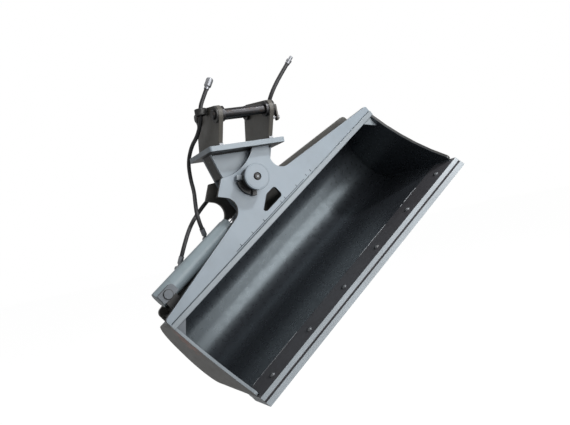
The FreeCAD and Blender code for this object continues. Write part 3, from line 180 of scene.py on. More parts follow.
class Form:
    """A mesh in the making, in its group's own frame."""

    def __init__(self) -> None:
        """Starts with nothing in it."""
        self.mesh = bmesh.new()

    def _trace(self, corners: Sequence[Corner]) -> list[bmesh.types.BMEdge]:
        """Draws one closed loop of straight runs and arcs.

        Args:
            corners: the loop's corners in order.

        Returns:
            The loop's edges.
        """
        made = self.mesh.verts.new(corners[0].point)
        last = made
        drawn = {made}
        for corner, following in zip(corners, [*corners[1:], corners[0]]):
            goal = following.point
            if corner.arc:
                chord = goal - corner.point
                radius = abs(corner.arc)
                turn = math.copysign(1.0, corner.arc)
                half = math.asin(min(1.0, chord.length / 2 / radius))
                left = Vector((-chord.y, chord.x, 0.0)).normalized()
                centre = (goal + corner.point) / 2 + left * turn * radius * math.cos(half)
                steps = max(2, math.ceil(2 * half / ARC_STEP))
                spun = bmesh.ops.spin(
                    self.mesh, geom=[last], cent=centre, axis=(0, 0, 1), angle=2 * half * turn, steps=steps
                )
                last = next(item for item in spun["geom_last"] if isinstance(item, bmesh.types.BMVert))
            else:
                grown = bmesh.ops.extrude_vert_indiv(self.mesh, verts=[last])
                last = grown["verts"][0]
                last.co = goal
            drawn.add(last)
        loop = self._linked(made)
        bmesh.ops.remove_doubles(self.mesh, verts=loop, dist=0.001)
        start = next(vert for vert in self.mesh.verts if (vert.co - corners[0].point).length < 0.01)
        return list({edge for vert in self._linked(start) for edge in vert.link_edges})

    def _linked(self, start: bmesh.types.BMVert) -> list[bmesh.types.BMVert]:
        """Collects the corners that edges join to a start.

        Args:
            start: the corner to start from.

        Returns:
            The start and every corner that is joined to it.
        """
        found = [start]
        seen = {start}
        for vert in found:
            for edge in vert.link_edges:
                other = edge.other_vert(vert)
                if other not in seen:
                    seen.add(other)
                    found.append(other)
        return found

    def _raise(self, height: float) -> None:
        """Draws every face of this form up into a solid.

        Args:
            height: how far up.
        """
        grown = bmesh.ops.extrude_face_region(self.mesh, geom=self.mesh.faces[:])
        raised = [item for item in grown["geom"] if isinstance(item, bmesh.types.BMVert)]
        bmesh.ops.translate(self.mesh, verts=raised, vec=(0, 0, height))

    def plate(
        self,
        corners: Sequence[Corner],
        plane: Plane,
        start: float,
        thick: float,
        windows: Sequence[Sequence[Corner]] = (),
    ) -> Form:
        """Adds a flat plate.

        Args:
            corners: the plate's outline.
            plane: the plane that it lies in.
            start: where the plate starts across that plane.
            thick: the plate's thickness.
            windows: outlines of openings through it.

        Returns:
            This form.
        """
        part = Form()
        edges = part._trace(softened(corners))
        if windows:
            for window in windows:
                edges += part._trace(softened(window))
            bmesh.ops.triangle_fill(
                part.mesh, use_beauty=True, use_dissolve=True, normal=(0, 0, 1), edges=edges
            )
        else:
            bmesh.ops.contextual_create(part.mesh, geom=edges)
        part._raise(thick)
        part.turn(plane.value @ Matrix.Translation((0, 0, start)))
        return self.add(part)

    def turned(self, profile: Sequence[tuple[float, float]], steps: int = 64) -> Form:
        """Adds a body turned about the frame's Z axis.

        Args:
            profile: closed profile of (radius, height) points.
            steps: how many faces go round.

        Returns:
            This form.
        """
        part = Form()
        verts = [part.mesh.verts.new((radius, 0.0, height)) for radius, height in profile]
        edges = [part.mesh.edges.new((a, b)) for a, b in zip(verts, [*verts[1:], verts[0]])]
        bmesh.ops.spin(
            part.mesh, geom=[*verts, *edges], cent=(0, 0, 0), axis=(0, 0, 1),
            angle=math.tau, steps=steps, use_merge=True,
        )
        bmesh.ops.remove_doubles(part.mesh, verts=part.mesh.verts[:], dist=0.001)
        lines = [edge for edge in part.mesh.edges if not edge.link_faces]
        bmesh.ops.delete(part.mesh, geom=lines, context="EDGES")
        return self.add(part)

    def hexagon(self, flats: float, low: float, high: float, at: Vector | None = None) -> Form:
        """Adds a hexagonal prism along Z.

        Args:
            flats: width across flats.
            low: its foot.
            high: its top.
            at: where its axis crosses the plane.

        Returns:
            This form.
        """
        part = Form()
        bmesh.ops.create_circle(
            part.mesh, cap_ends=True, segments=6, radius=flats / 2 / math.cos(math.radians(30.0)),
            matrix=Matrix.Rotation(math.radians(30.0), 4, "Z"),
        )
        part._raise(high - low)
        part.turn(Matrix.Translation((at or Vector()) + Vector((0, 0, low))))
        return self.add(part)

    def bead(self, start: Vector, end: Vector, leg: float, pitch: float = 7.0) -> Form:
        """Adds a weld bead with its ripples along a straight seam.

        Args:
            start: one end of the seam.
            end: its other end.
            leg: the bead's radius.
            pitch: distance from ripple to ripple.

        Returns:
            This form.
        """
        part = Form()
        run = end - start
        count = max(2, round(run.length / pitch))
        bmesh.ops.create_circle(part.mesh, cap_ends=True, segments=8, radius=leg * BEAD_WAIST)
        front = part.mesh.faces[:]
        step = run.length / count / 2
        for index in range(count * 2):
            grown = bmesh.ops.extrude_face_region(part.mesh, geom=front)
            ring = [item for item in grown["geom"] if isinstance(item, bmesh.types.BMVert)]
            front = [item for item in grown["geom"] if isinstance(item, bmesh.types.BMFace)]
            wide = RIPPLE if index % 2 == 0 else 1 / RIPPLE
            if index == count * 2 - 1:
                wide = BEAD_TAPER
            bmesh.ops.translate(part.mesh, verts=ring, vec=(0, 0, step))
            middle = Matrix.Translation((0, 0, -(index + 1) * step))
            bmesh.ops.scale(part.mesh, verts=ring, vec=(wide, wide, 1.0), space=middle)
        part.turn(Matrix.Translation(start) @ run.to_track_quat("Z", "Y").to_matrix().to_4x4())
        return self.add(part)

    def turn(self, matrix: Matrix) -> Form:
        """Moves everything made so far.

        Args:
            matrix: the move.

        Returns:
            This form.
        """
        bmesh.ops.transform(self.mesh, matrix=matrix, verts=self.mesh.verts[:])
        return self

    def copy_at(self, matrices: Iterable[Matrix]) -> Form:
        """Repeats everything made so far.

        Args:
            matrices: the places of the copies.

        Returns:
            This form, with the copies in place of what was there.
        """
        source = bpy.data.meshes.new("copy")
        self.mesh.to_mesh(source)
        self.mesh.clear()
        for matrix in matrices:
            part = Form()
            part.mesh.from_mesh(source)
            part.turn(matrix)
            self.add(part)
        bpy.data.meshes.remove(source)
        return self

    def add(self, other: Form) -> Form:
        """Takes in another form and frees it.

        Args:
            other: the other form.

        Returns:
            This form.
        """
        bmesh.ops.recalc_face_normals(other.mesh, faces=other.mesh.faces[:])
        source = bpy.data.meshes.new("part")
        other.mesh.to_mesh(source)
        other.mesh.free()
        self.mesh.from_mesh(source)
        bpy.data.meshes.remove(source)
        return self

    def soften(self, width: float, segments: int = 2) -> Form:
        """Bevels the sharp edges.

        Args:
            width: the bevel's width.
            segments: faces across it.

        Returns:
            This form.
        """
        edges = [edge for edge in self.mesh.edges if edge.is_manifold and edge.calc_face_angle(0.0) > SHARP]
        bmesh.ops.bevel(
            self.mesh, geom=edges, offset=width, offset_type="OFFSET", segments=segments,
            profile=0.5, affect="EDGES", clamp_overlap=True, material=-1,
        )
        return self

    def mark(self, test: Callable[[bmesh.types.BMFace], bool], index: int = 1) -> Form:
        """Gives some of the faces another of the piece's finishes.

        Args:
            test: tells which faces.
            index: 1 for the second finish and 2 for the third.

        Returns:
            This form.
        """
        for face in self.mesh.faces:
            if test(face):
                face.material_index = index
        return self

    def finish(
        self, name: str, place: Matrix, finish: Finish, body: str, slot: str, nodes: Sequence[str] = (),
        second: Finish | None = None, third: Finish | None = None,
    ) -> bpy.types.Object:
        """Makes the scene's object of this form.

        Args:
            name: the piece's name.
            place: from the group's frame to the part's.
            finish: what it is finished in.
            body: the body that it rides on.
            slot: the record's material slot; not used.
            nodes: the nodes that it stands for.
            second: what its marked faces are finished in.
            third: what its faces marked 2 are finished in.

        Returns:
            The finished piece.
        """
        self.turn(place)
        data = bpy.data.meshes.new(name)
        self.mesh.to_mesh(data)
        self.mesh.free()
        data.polygons.foreach_set("use_smooth", [True] * len(data.polygons))
        data.set_sharp_from_angle(angle=SMOOTH)
        piece = shown(name, data)
        for used in (finish, second, third):
            if used:
                data.materials.append(used.material())
        weighted = piece.modifiers.new("weighted", "WEIGHTED_NORMAL")
        weighted.keep_sharp = True
        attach(piece, body)
        if nodes:
            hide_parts(*nodes)
        LOG.info("%s: %d faces on %s", name, len(data.polygons), body)
        return piece


class Value:
    """A shader value that Python's operators work on."""

    def __init__(self, shader: Shader, socket: bpy.types.NodeSocket) -> None:
        """Wraps a socket of a shader."""
        self.shader = shader
        self.socket = socket

    def _math(self, operation: str, *others: Value | float, flip: bool = False) -> Value:
        """Adds a Math node on this value and others.

        Args:
            operation: what the node works out.
            others: the values that follow this one.
            flip: whether this one comes last instead.

        Returns:
            The result.
        """
        values = [self, *others]
        if flip:
            values.reverse()
        node = self.shader.node("ShaderNodeMath", {"operation": operation}, dict(enumerate(values)))
        return Value(self.shader, node.outputs[0])

    def __add__(self, other: Value | float) -> Value:
        """Sum."""
        return self._math("ADD", other)

    __radd__ = __add__

    def __sub__(self, other: Value | float) -> Value:
        """Difference."""
        return self._math("SUBTRACT", other)

    def __rsub__(self, other: Value | float) -> Value:
        """Reflected difference."""
        return self._math("SUBTRACT", other, flip=True)

    def __mul__(self, other: Value | float) -> Value:
        """Product."""
        return self._math("MULTIPLY", other)

    __rmul__ = __mul__

    def most(self, other: Value | float) -> Value:
        """The greater of two values."""
        return self._math("MAXIMUM", other)

    def between(self, low: float, high: float) -> Value:
        """Spreads the values between two bounds smoothly over 0 to 1.

        Args:
            low: where the result reaches 0.
            high: where it reaches 1.

        Returns:
            The spread value.
        """
        node = self.shader.node(
            "ShaderNodeMapRange", {"interpolation_type": "SMOOTHSTEP"}, {"Value": self, 1: low, 2: high}
        )
        return Value(self.shader, node.outputs[0])


class Shader:
    """The nodes of one material or world."""

    def __init__(self, tree: bpy.types.NodeTree) -> None:
        """Starts from an empty tree."""
        self.tree = tree
        tree.nodes.clear()

    def node(
        self, kind: str, settings: dict[str, object] | None = None,
        inputs: dict[int | str, object] | None = None,
    ) -> bpy.types.Node:
        """Adds a node.

        Args:
            kind: the node's type.
            settings: properties that are set first.
            inputs: values, or sockets to link, of its inputs.

        Returns:
            The node.
        """
        node = self.tree.nodes.new(kind)
        for key, value in (settings or {}).items():
            setattr(node, key, value)
        for key, value in (inputs or {}).items():
            if isinstance(value, Value):
                self.tree.links.new(value.socket, node.inputs[key])
            elif isinstance(value, bpy.types.NodeSocket):
                self.tree.links.new(value, node.inputs[key])
            else:
                node.inputs[key].default_value = value
        return node

    def place(self, stretch: Vector = Vector((1, 1, 1)), turn: float = 0.0) -> bpy.types.NodeSocket:
        """Object coordinates, turned about Y and stretched.

        Args:
            stretch: how much each axis is stretched.
            turn: the angle about Y.

        Returns:
            The coordinates' socket.
        """
        where = self.node("ShaderNodeTexCoord").outputs["Object"]
        turned = self.node(
            "ShaderNodeMapping", {"vector_type": "POINT"}, {"Vector": where, "Rotation": (0.0, turn, 0.0)}
        )
        scaled = self.node(
            "ShaderNodeVectorMath", {"operation": "MULTIPLY"}, {0: turned.outputs[0], 1: stretch}
        )
        return scaled.outputs[0]

    def noise(
        self, scale: float, detail: float = 3.0, stretch: Vector = Vector((1, 1, 1)), turn: float = 0.0
    ) -> Value:
        """Cloudy noise on object coordinates.

        Args:
            scale: lumps to the metre.
            detail: how many finer layers.
            stretch: how the noise is squeezed along each axis.
            turn: how its axes are turned about Y.

        Returns:
            The noise, round 0.5.
        """
        where = self.place(stretch, turn)
        node = self.node("ShaderNodeTexNoise", None, {"Vector": where, "Scale": scale, "Detail": detail})
        return Value(self, node.outputs["Fac"])

    def near(self, centre: Sequence[float], reach: float) -> Value:
        """How near a place is to a centre.

        Args:
            centre: the centre, in metres.
            reach: how far away it falls to 0.

        Returns:
            1 at the centre and 0 past the reach.
        """
        gap = self.node("ShaderNodeVectorMath", {"operation": "DISTANCE"}, {0: self.place(), 1: centre})
        return 1.0 - Value(self, gap.outputs["Value"]).between(reach / 3, reach)

    def mix(self, share: Value, low: Sequence[float] | Value, high: Sequence[float] | Value) -> Value:
        """A colour between two.

        Args:
            share: how much of the second colour there is.
            low: the first colour.
            high: the second colour.

        Returns:
            The mixed colour.
        """
        ends = [(*end, 1.0) if not isinstance(end, Value) else end for end in (low, high)]
        node = self.node("ShaderNodeMix", {"data_type": "RGBA"}, {0: share, 6: ends[0], 7: ends[1]})
        return Value(self, node.outputs[2])

    def feed(self, surface: bpy.types.Node, name: str, value: Value) -> None:
        """Links a value to one of the surface's sockets."""
        self.tree.links.new(value.socket, surface.inputs[name])

    def relief(self, surface: bpy.types.Node, height: Value, strength: float, distance: float) -> None:
        """Gives the surface a fine relief.

        Args:
            surface: the surface node.
            height: what is high and what is low.
            strength: how strongly it shows.
            distance: how far the heights lie apart, in metres.
        """
        bump = self.node("ShaderNodeBump", None, {"Height": height, "Strength": strength, "Distance": distance})
        self.tree.links.new(bump.outputs[0], surface.inputs["Normal"])


class Finish:
    """A finish that makes its material once."""

    name: str

    def material(self) -> bpy.types.Material:
        """Makes the finish's material at its first use.

        Returns:
            The material.
        """
        found = bpy.data.materials.get(self.name)
        if found is None:
            found = bpy.data.materials.new(self.name)
            found.use_nodes = True
            shader = Shader(found.node_tree)
            surface = shader.node("ShaderNodeBsdfPrincipled")
            out = shader.node("ShaderNodeOutputMaterial", None, {"Surface": surface.outputs[0]})
            out.is_active_output = True
            self.dress(shader, surface)
        return found

    def dress(self, shader: Shader, surface: bpy.types.Node) -> None:
        """Sets the surface's colour, gloss and relief.

        Args:
            shader: the material's nodes.
            surface: its surface node.
        """
        raise NotImplementedError


def scaled(colour: Sequence[float], share: float) -> tuple[float, float, float]:
    """A colour made lighter or darker."""
    return tuple(channel * share for channel in colour)


@dataclass(frozen=True)
class Paint(Finish):
    """Sprayed steel paint with uneven tone, faint scuffs and dust."""

    name: str
    colour: tuple[float, float, float]
    rough: float = 0.42
    shine: float = 0.5
    ior: float = 1.5
    tint: tuple[float, float, float] = (1.0, 1.0, 1.0)
    dust: float = 0.10
    scuffs: float = 0.5
    peel: float = 0.10
    turn: float = 0.0
    rust: tuple[float, float, float] | None = None

    def dress(self, shader: Shader, surface: bpy.types.Node) -> None:
        """Sets tone, scuffs, dust, a rusty smear and orange peel.

        Args:
            shader: the material's nodes.
            surface: its surface node.
        """
        tone = shader.noise(4.5, 4.0, turn=self.turn).between(0.3, 0.7)
        mottle = shader.noise(38.0, 5.0).between(0.35, 0.75)
        colour = shader.mix(tone, scaled(self.colour, 0.9), scaled(self.colour, 1.08))
        colour = shader.mix(mottle * 0.35, colour, scaled(self.colour, 1.12))
        drawn = shader.noise(30.0, 4.0, Vector((0.12, 1.0, 3.2)), self.turn).between(0.66, 0.72)
        patch = shader.noise(7.0, 2.0).between(0.45, 0.65)
        scuff = drawn * patch * self.scuffs
        colour = shader.mix(scuff, colour, SCUFFED)
        dusty = shader.noise(13.0, 6.0).between(0.5, 0.85) * self.dust
        colour = shader.mix(dusty, colour, DUST)
        if self.rust:
            rusty = shader.near(self.rust, 0.12) * shader.noise(34.0, 5.0).between(0.38, 0.52)
            colour = shader.mix(rusty, colour, RUST)
        shader.feed(surface, "Base Color", colour)
        gloss = self.rough + (mottle - 0.5) * 0.08 + scuff * 0.12 + dusty * 0.6
        shader.feed(surface, "Roughness", gloss)
        surface.inputs["Specular IOR Level"].default_value = self.shine
        surface.inputs["Specular Tint"].default_value = (*self.tint, 1.0)
        surface.inputs["IOR"].default_value = self.ior
        peel = shader.noise(420.0, 2.0) * 0.35 + shader.noise(60.0, 2.0) * 0.65
        shader.relief(surface, peel, self.peel, 0.002)


@dataclass(frozen=True)
class Steel(Finish):
    """Bare or plated steel, with fine tool marks and light staining."""

    name: str
    colour: tuple[float, float, float]
    rough: float = 0.35
    stain: tuple[float, float, float] = (0.10, 0.07, 0.05)
    staining: float = 0.35

    def dress(self, shader: Shader, surface: bpy.types.Node) -> None:
        """Sets tone, stains and tool marks.

        Args:
            shader: the material's nodes.
            surface: its surface node.
        """
        tone = shader.noise(22.0, 4.0).between(0.3, 0.7)
        colour = shader.mix(tone, scaled(self.colour, 0.85), scaled(self.colour, 1.1))
        stained = shader.noise(55.0, 6.0).between(0.52, 0.7) * self.staining
        colour = shader.mix(stained, colour, self.stain)
        shader.feed(surface, "Base Color", colour)
        marks = shader.noise(900.0, 2.0, Vector((1.0, 0.08, 1.0)))
        gloss = self.rough + stained * 0.5 + (marks - 0.5) * 0.1
        shader.feed(surface, "Roughness", gloss)
        surface.inputs["Metallic"].default_value = 1.0
        shader.relief(surface, marks, 0.08, 0.001)


@dataclass(frozen=True)
class Rubber(Finish):
    """Hose cover: matt, fine-grained and a little dusty."""

    name: str
    colour: tuple[float, float, float]

    def dress(self, shader: Shader, surface: bpy.types.Node) -> None:
        """Sets tone, dust and grain.

        Args:
            shader: the material's nodes.
            surface: its surface node.
        """
        tone = shader.noise(30.0, 4.0).between(0.35, 0.7)
        colour = shader.mix(tone, scaled(self.colour, 0.8), scaled(self.colour, 1.5))
        shader.feed(surface, "Base Color", colour)
        grain = shader.noise(700.0, 2.0)
        gloss = 0.42 + tone * 0.16
        shader.feed(surface, "Roughness", gloss)
        shader.relief(surface, grain, 0.15, 0.001)


PLATE = Paint("plate_paint", (0.335, 0.395, 0.450), rough=0.40, turn=FULL_TILT)
HANGER = Paint("hanger_paint", (0.345, 0.405, 0.455), rough=0.40)
EARS = Paint("ear_paint", (0.125, 0.118, 0.104), rough=0.45)
DARK = Paint("shade_paint", (0.029, 0.029, 0.029), rough=0.42, turn=FULL_TILT)
GREY = Paint("grey_paint", (0.17, 0.19, 0.215), rough=0.42, turn=FULL_TILT)
# Painted shade: a dark copy of the plate paint for the left wall's outside and the rear plate, which face away from the
# light, with a rusty smear.
SHADED_SIDES = Paint("shaded_side_paint", (0.095, 0.092, 0.084), rough=0.42, turn=FULL_TILT, rust=(-0.454, 0.075, -0.982))
# Painted shade: a near-black copy of the plate paint for the mouth's inside, glossy so that the lamps show in it.
MOUTH_SHADE = Paint(
    "mouth_shade_gloss", (0.034, 0.038, 0.045), rough=0.31, shine=0.92, ior=1.58, tint=(0.80, 0.93, 1.0),
    dust=0.005, scuffs=0.03, peel=0.04, turn=FULL_TILT,
)
# Painted shade: a darker copy of the edge paint for upward faces and for the groove between the two edges.
LEDGE_SHADE = Paint("ledge_shade_paint", (0.073, 0.072, 0.080), rough=0.40, dust=0.05, scuffs=0.30, turn=FULL_TILT)
EDGE = Paint("edge_paint", (0.34, 0.385, 0.42), rough=0.36, dust=0.06, scuffs=0.15, peel=0.04, turn=FULL_TILT)
CYLINDER = Paint("barrel_gloss", (0.325, 0.395, 0.43), rough=0.36, turn=FULL_TILT)
PIN = Steel("pin_steel", (0.055, 0.055, 0.058), rough=0.38)
BOLT = Steel("bolt_steel", (0.16, 0.17, 0.18), rough=0.42)
ZINC = Steel("zinc_plate", (0.30, 0.31, 0.33), rough=0.46, staining=0.15)
CHROME = Steel("rod_chrome", (0.50, 0.51, 0.53), rough=0.20, staining=0.05)
BRONZE = Steel("bush_bronze", (0.50, 0.33, 0.14), rough=0.35)
RUBBER = Rubber("hose_cover", (0.024, 0.024, 0.026))


@dataclass
class Hanger:
    """The level frame that hangs on the machine's two pins."""

    half_wide: float = 193.0
    front: float = -50.0
    back: float = 272.0
    base: float = 146.0
    top: float = 171.0
    cheek_top: float = 160.0
    cheek_waist: float = 113.0
    cheek_round: float = 42.0
    eye_drop: float = 115.0
    cheek_starts: tuple[float, float] = (45.0, 155.0)
    cheek_thick: float = 20.0
    side_foot: float = 30.0
    side_thick: float = 12.0
    ear_outer: float = 139.0
    ear_thick: float = 22.0
    ear_foot: tuple[float, float] = (-25.0, 268.0)
    boss: float = 40.0
    pins: tuple[tuple[float, float], tuple[float, float]] = ((-70.0, 309.0), (155.0, 345.0))
    pin_radius: float = 22.5
    pin_reach: float = 159.0
    guide: tuple[float, float] = (-169.0, 36.0)
    guide_low: float = 332.0
    guide_high: float = 364.0

    def build(self) -> None:
        """Makes every piece of the hanger."""
        self.base_plate()
        self.cheeks()
        self.ears()
        self.hitch()
        self.hose_guide()
        self.seams()

    def base_plate(self) -> None:
        """The plate that the ears stand on."""
        corners = [
            Corner(-self.half_wide, self.front, soft=14.0),
            Corner(self.half_wide, self.front, soft=14.0),
            Corner(self.half_wide, self.back, soft=14.0),
            Corner(-self.half_wide, self.back, soft=14.0),
        ]
        form = Form().plate(corners, Plane.TOP, self.base, self.top - self.base).soften(2.0)
        # The underside faces take the near-black shade paint: painted shade under the plate.
        form.mark(lambda face: face.normal.z < -0.9)
        form.finish("base_plate_dressed", LEVEL, HANGER, "hanger", "frame_paint", ["base_plate"], DARK)

    def touch(self, foot: Vector, centre: Vector, radius: float, side: float) -> Vector:
        """Where a line from a point touches a circle.

        Args:
            foot: where the line starts.
            centre: the circle's centre.
            radius: its radius.
            side: 1 for the touch on its left and -1 for the one on its right.

        Returns:
            The touching point.
        """
        way = centre - foot
        angle = math.atan2(way.y, way.x) + side * math.asin(radius / way.length)
        run = math.sqrt(way.length_squared - radius**2)
        return foot + Vector((math.cos(angle), math.sin(angle), 0.0)) * run

    def cheeks(self) -> None:
        """The keystone plates and the slanted sides between them."""
        eye = Vector((0.0, -self.eye_drop, 0.0))
        left = self.touch(Vector((-self.cheek_waist, 0.0, 0.0)), eye, self.cheek_round, -1.0)
        corners = [
            Corner(-self.cheek_top, self.base),
            Corner(-self.cheek_waist, 0.0),
            Corner(left.x, left.y, self.cheek_round),
            Corner(-left.x, left.y),
            Corner(self.cheek_waist, 0.0),
            Corner(self.cheek_top, self.base),
        ]
        for name, start in zip(("front_cheek", "rear_cheek"), self.cheek_starts):
            form = Form().plate(corners, Plane.FRONT, start, self.cheek_thick).soften(1.6)
            form.finish(f"{name}_dressed", LEVEL, HANGER, "hanger", "frame_paint", [name])
        foot = self.cheek_waist + (self.cheek_top - self.cheek_waist) * self.side_foot / self.base
        behind = self.cheek_starts[0] + self.cheek_thick
        for name, side in (("left", -1.0), ("right", 1.0)):
            corners = [
                Corner(side * self.cheek_top, self.base),
                Corner(side * (self.cheek_top - self.side_thick), self.base),
                Corner(side * (foot - self.side_thick), self.side_foot),
                Corner(side * foot, self.side_foot),
            ]
            form = Form().plate(corners, Plane.FRONT, behind, self.cheek_starts[1] - behind).soften(1.0)
            form.finish(
                f"hanger_side_{name}_dressed", LEVEL, DARK, "hanger", "dark_paint", [f"hanger_side_{name}"]
            )

    def ears(self) -> None:
        """The two leaning plates and the pads at their feet."""
        front, rear = (Vector((*pin, 0.0)) for pin in self.pins)
        near = Vector((self.ear_foot[0], self.top, 0.0))
        far = Vector((self.ear_foot[1], self.top, 0.0))
        front_touch = self.touch(near, front, self.boss, 1.0)
        rear_touch = self.touch(far, rear, self.boss, -1.0)
        over = (rear - front).normalized()
        lift = Vector((-over.y, over.x, 0.0)) * self.boss
        corners = [
            Corner(near.x, near.y),
            Corner(far.x, far.y),
            Corner(rear_touch.x, rear_touch.y, self.boss),
            Corner((rear + lift).x, (rear + lift).y),
            Corner((front + lift).x, (front + lift).y, self.boss),
            Corner(front_touch.x, front_touch.y),
        ]
        for name, start in (("ear_left", -self.ear_outer), ("ear_right", self.ear_outer - self.ear_thick)):
            form = Form().plate(corners, Plane.SIDE, start, self.ear_thick).soften(1.8)
            form.finish(f"{name}_dressed", LEVEL, EARS, "hanger", "dark_paint", [name])
        slope = (front_touch - near).normalized()
        slope = slope / slope.y
        pads = Form()
        for start in (-self.ear_outer, self.ear_outer - self.ear_thick):
            pads.plate(
                [
                    Corner(near.x - 18.0, self.top, soft=3.0),
                    Corner(near.x, self.top),
                    Corner(near.x + slope.x * 12.0, self.top + 12.0),
                    Corner(near.x + slope.x * 12.0 - 4.5, self.top + 12.0, soft=3.0),
                ],
                Plane.SIDE, start + 1.0, self.ear_thick - 2.0,
            )
        pads.soften(1.5).finish("ear_pads_dressed", LEVEL, ZINC, "hanger", "bare_steel", ["ear_foot_pads"])

    def hitch(self) -> None:
        """The hitch pins, their rings, spacers, keepers and bolts."""
        names = ("front_hitch_pin", "rear_hitch_pin")
        for name, (back, up) in zip(names, self.pins):
            reach = self.pin_reach
            radius = self.pin_radius
            pin = Form().turned(
                [
                    (0.0, -reach), (radius - 4.0, -reach), (radius, -reach + 4.0),
                    (radius, reach - 4.0), (radius - 4.0, reach), (0.0, reach),
                ]
            )
            pin.soften(0.6).turn(Matrix.Translation((0.0, back, up)) @ ABOUT_X)
            pin.finish(f"{name}_dressed", LEVEL, PIN, "hanger", "bare_steel", [name])
        rings = (
            ("ear_rings", self.ear_outer, 39.4, 8.0),
            ("pin_spacers", self.ear_outer - self.ear_thick - 14.0, 36.0, 14.0),
        )
        for name, start, outer, thick in rings:
            inner = self.pin_radius + 0.05
            form = Form().turned([(inner, 0.0), (outer, 0.0), (outer, thick), (inner, thick)]).soften(1.4)
            places = []
            for back, up in self.pins:
                for side in (1.0, -1.0):
                    turn = Matrix.Rotation(side * math.pi / 2, 4, "Y")
                    places.append(Matrix.Translation((side * start, back, up)) @ turn)
            form.copy_at(places)
            form.finish(f"{name}_dressed", LEVEL, PIN if name == "pin_spacers" else DARK, "hanger",
                        "dark_paint", [name])
        keepers = Form()
        bolts = Form()
        for back, up in self.pins:
            keepers.plate(
                [
                    Corner(back - 15.0, up - 61.0, soft=6.0), Corner(back + 15.0, up - 61.0, soft=6.0),
                    Corner(back + 15.0, up + 15.0, soft=6.0), Corner(back - 15.0, up + 15.0, soft=6.0),
                ],
                Plane.SIDE, self.pin_reach, 8.0,
            )
            head = Form().hexagon(18.0, 0.0, 8.0).soften(0.8)
            head.turn(Matrix.Translation((self.pin_reach + 8.0, back, up - 46.0)) @ ABOUT_X)
            shank = Form().turned([(0.0, 0.0), (6.0, 0.0), (6.0, 28.0), (0.0, 28.0)], steps=24)
            shank.turn(Matrix.Translation((self.ear_outer, back, up - 46.0)) @ ABOUT_X)
            bolts.add(head)
            bolts.add(shank)
        keepers.soften(1.2).finish("pin_keepers_dressed", LEVEL, EARS, "hanger", "dark_paint", ["pin_keepers"])
        bolts.finish("keeper_bolts_dressed", LEVEL, ZINC, "hanger", "bare_steel", ["keeper_bolts"])

    def hose_guide(self) -> None:
        """The short tube that one hose runs through, and its web."""
        across, back = self.guide
        ring = Form().turned(
            [(20.0, self.guide_low), (28.0, self.guide_low), (28.0, self.guide_high), (20.0, self.guide_high)]
        )
        ring.soften(1.6, 3).turn(Matrix.Translation((across, back, 0.0)))
        web = Form().plate(
            [
                Corner(across + 23.5, back - 15.0), Corner(-self.ear_outer, back - 15.0),
                Corner(-self.ear_outer, back + 15.0), Corner(across + 23.5, back + 15.0),
            ],
            Plane.TOP, self.guide_low + 0.5, self.guide_high - self.guide_low - 1.0,
        )
        ring.add(web.soften(1.2))
        ring.finish("hose_guide_dressed", LEVEL, DARK, "hanger", "dark_paint", ["hose_guide"])

    def seams(self) -> None:
        """Weld beads where the ears and cheeks meet the base plate."""
        beads = Form()
        for outer in (self.ear_outer, self.ear_outer - self.ear_thick):
            for side in (-1.0, 1.0):
                beads.bead(
                    Vector((side * outer, self.ear_foot[0] + 4.0, self.top)),
                    Vector((side * outer, self.ear_foot[1] - 4.0, self.top)), 5.0,
                )
        # The wide near-black beads along the cheeks' tops are painted shade: they stand in for the shadow that the base
        # plate casts on the cheeks.
        for back in (self.cheek_starts[0], self.cheek_starts[1] + self.cheek_thick):
            beads.bead(Vector((-154.0, back, self.base)), Vector((154.0, back, self.base)), 8.0, 9.0)
        beads.finish("hanger_seams", LEVEL, DARK, "hanger", "dark_paint")


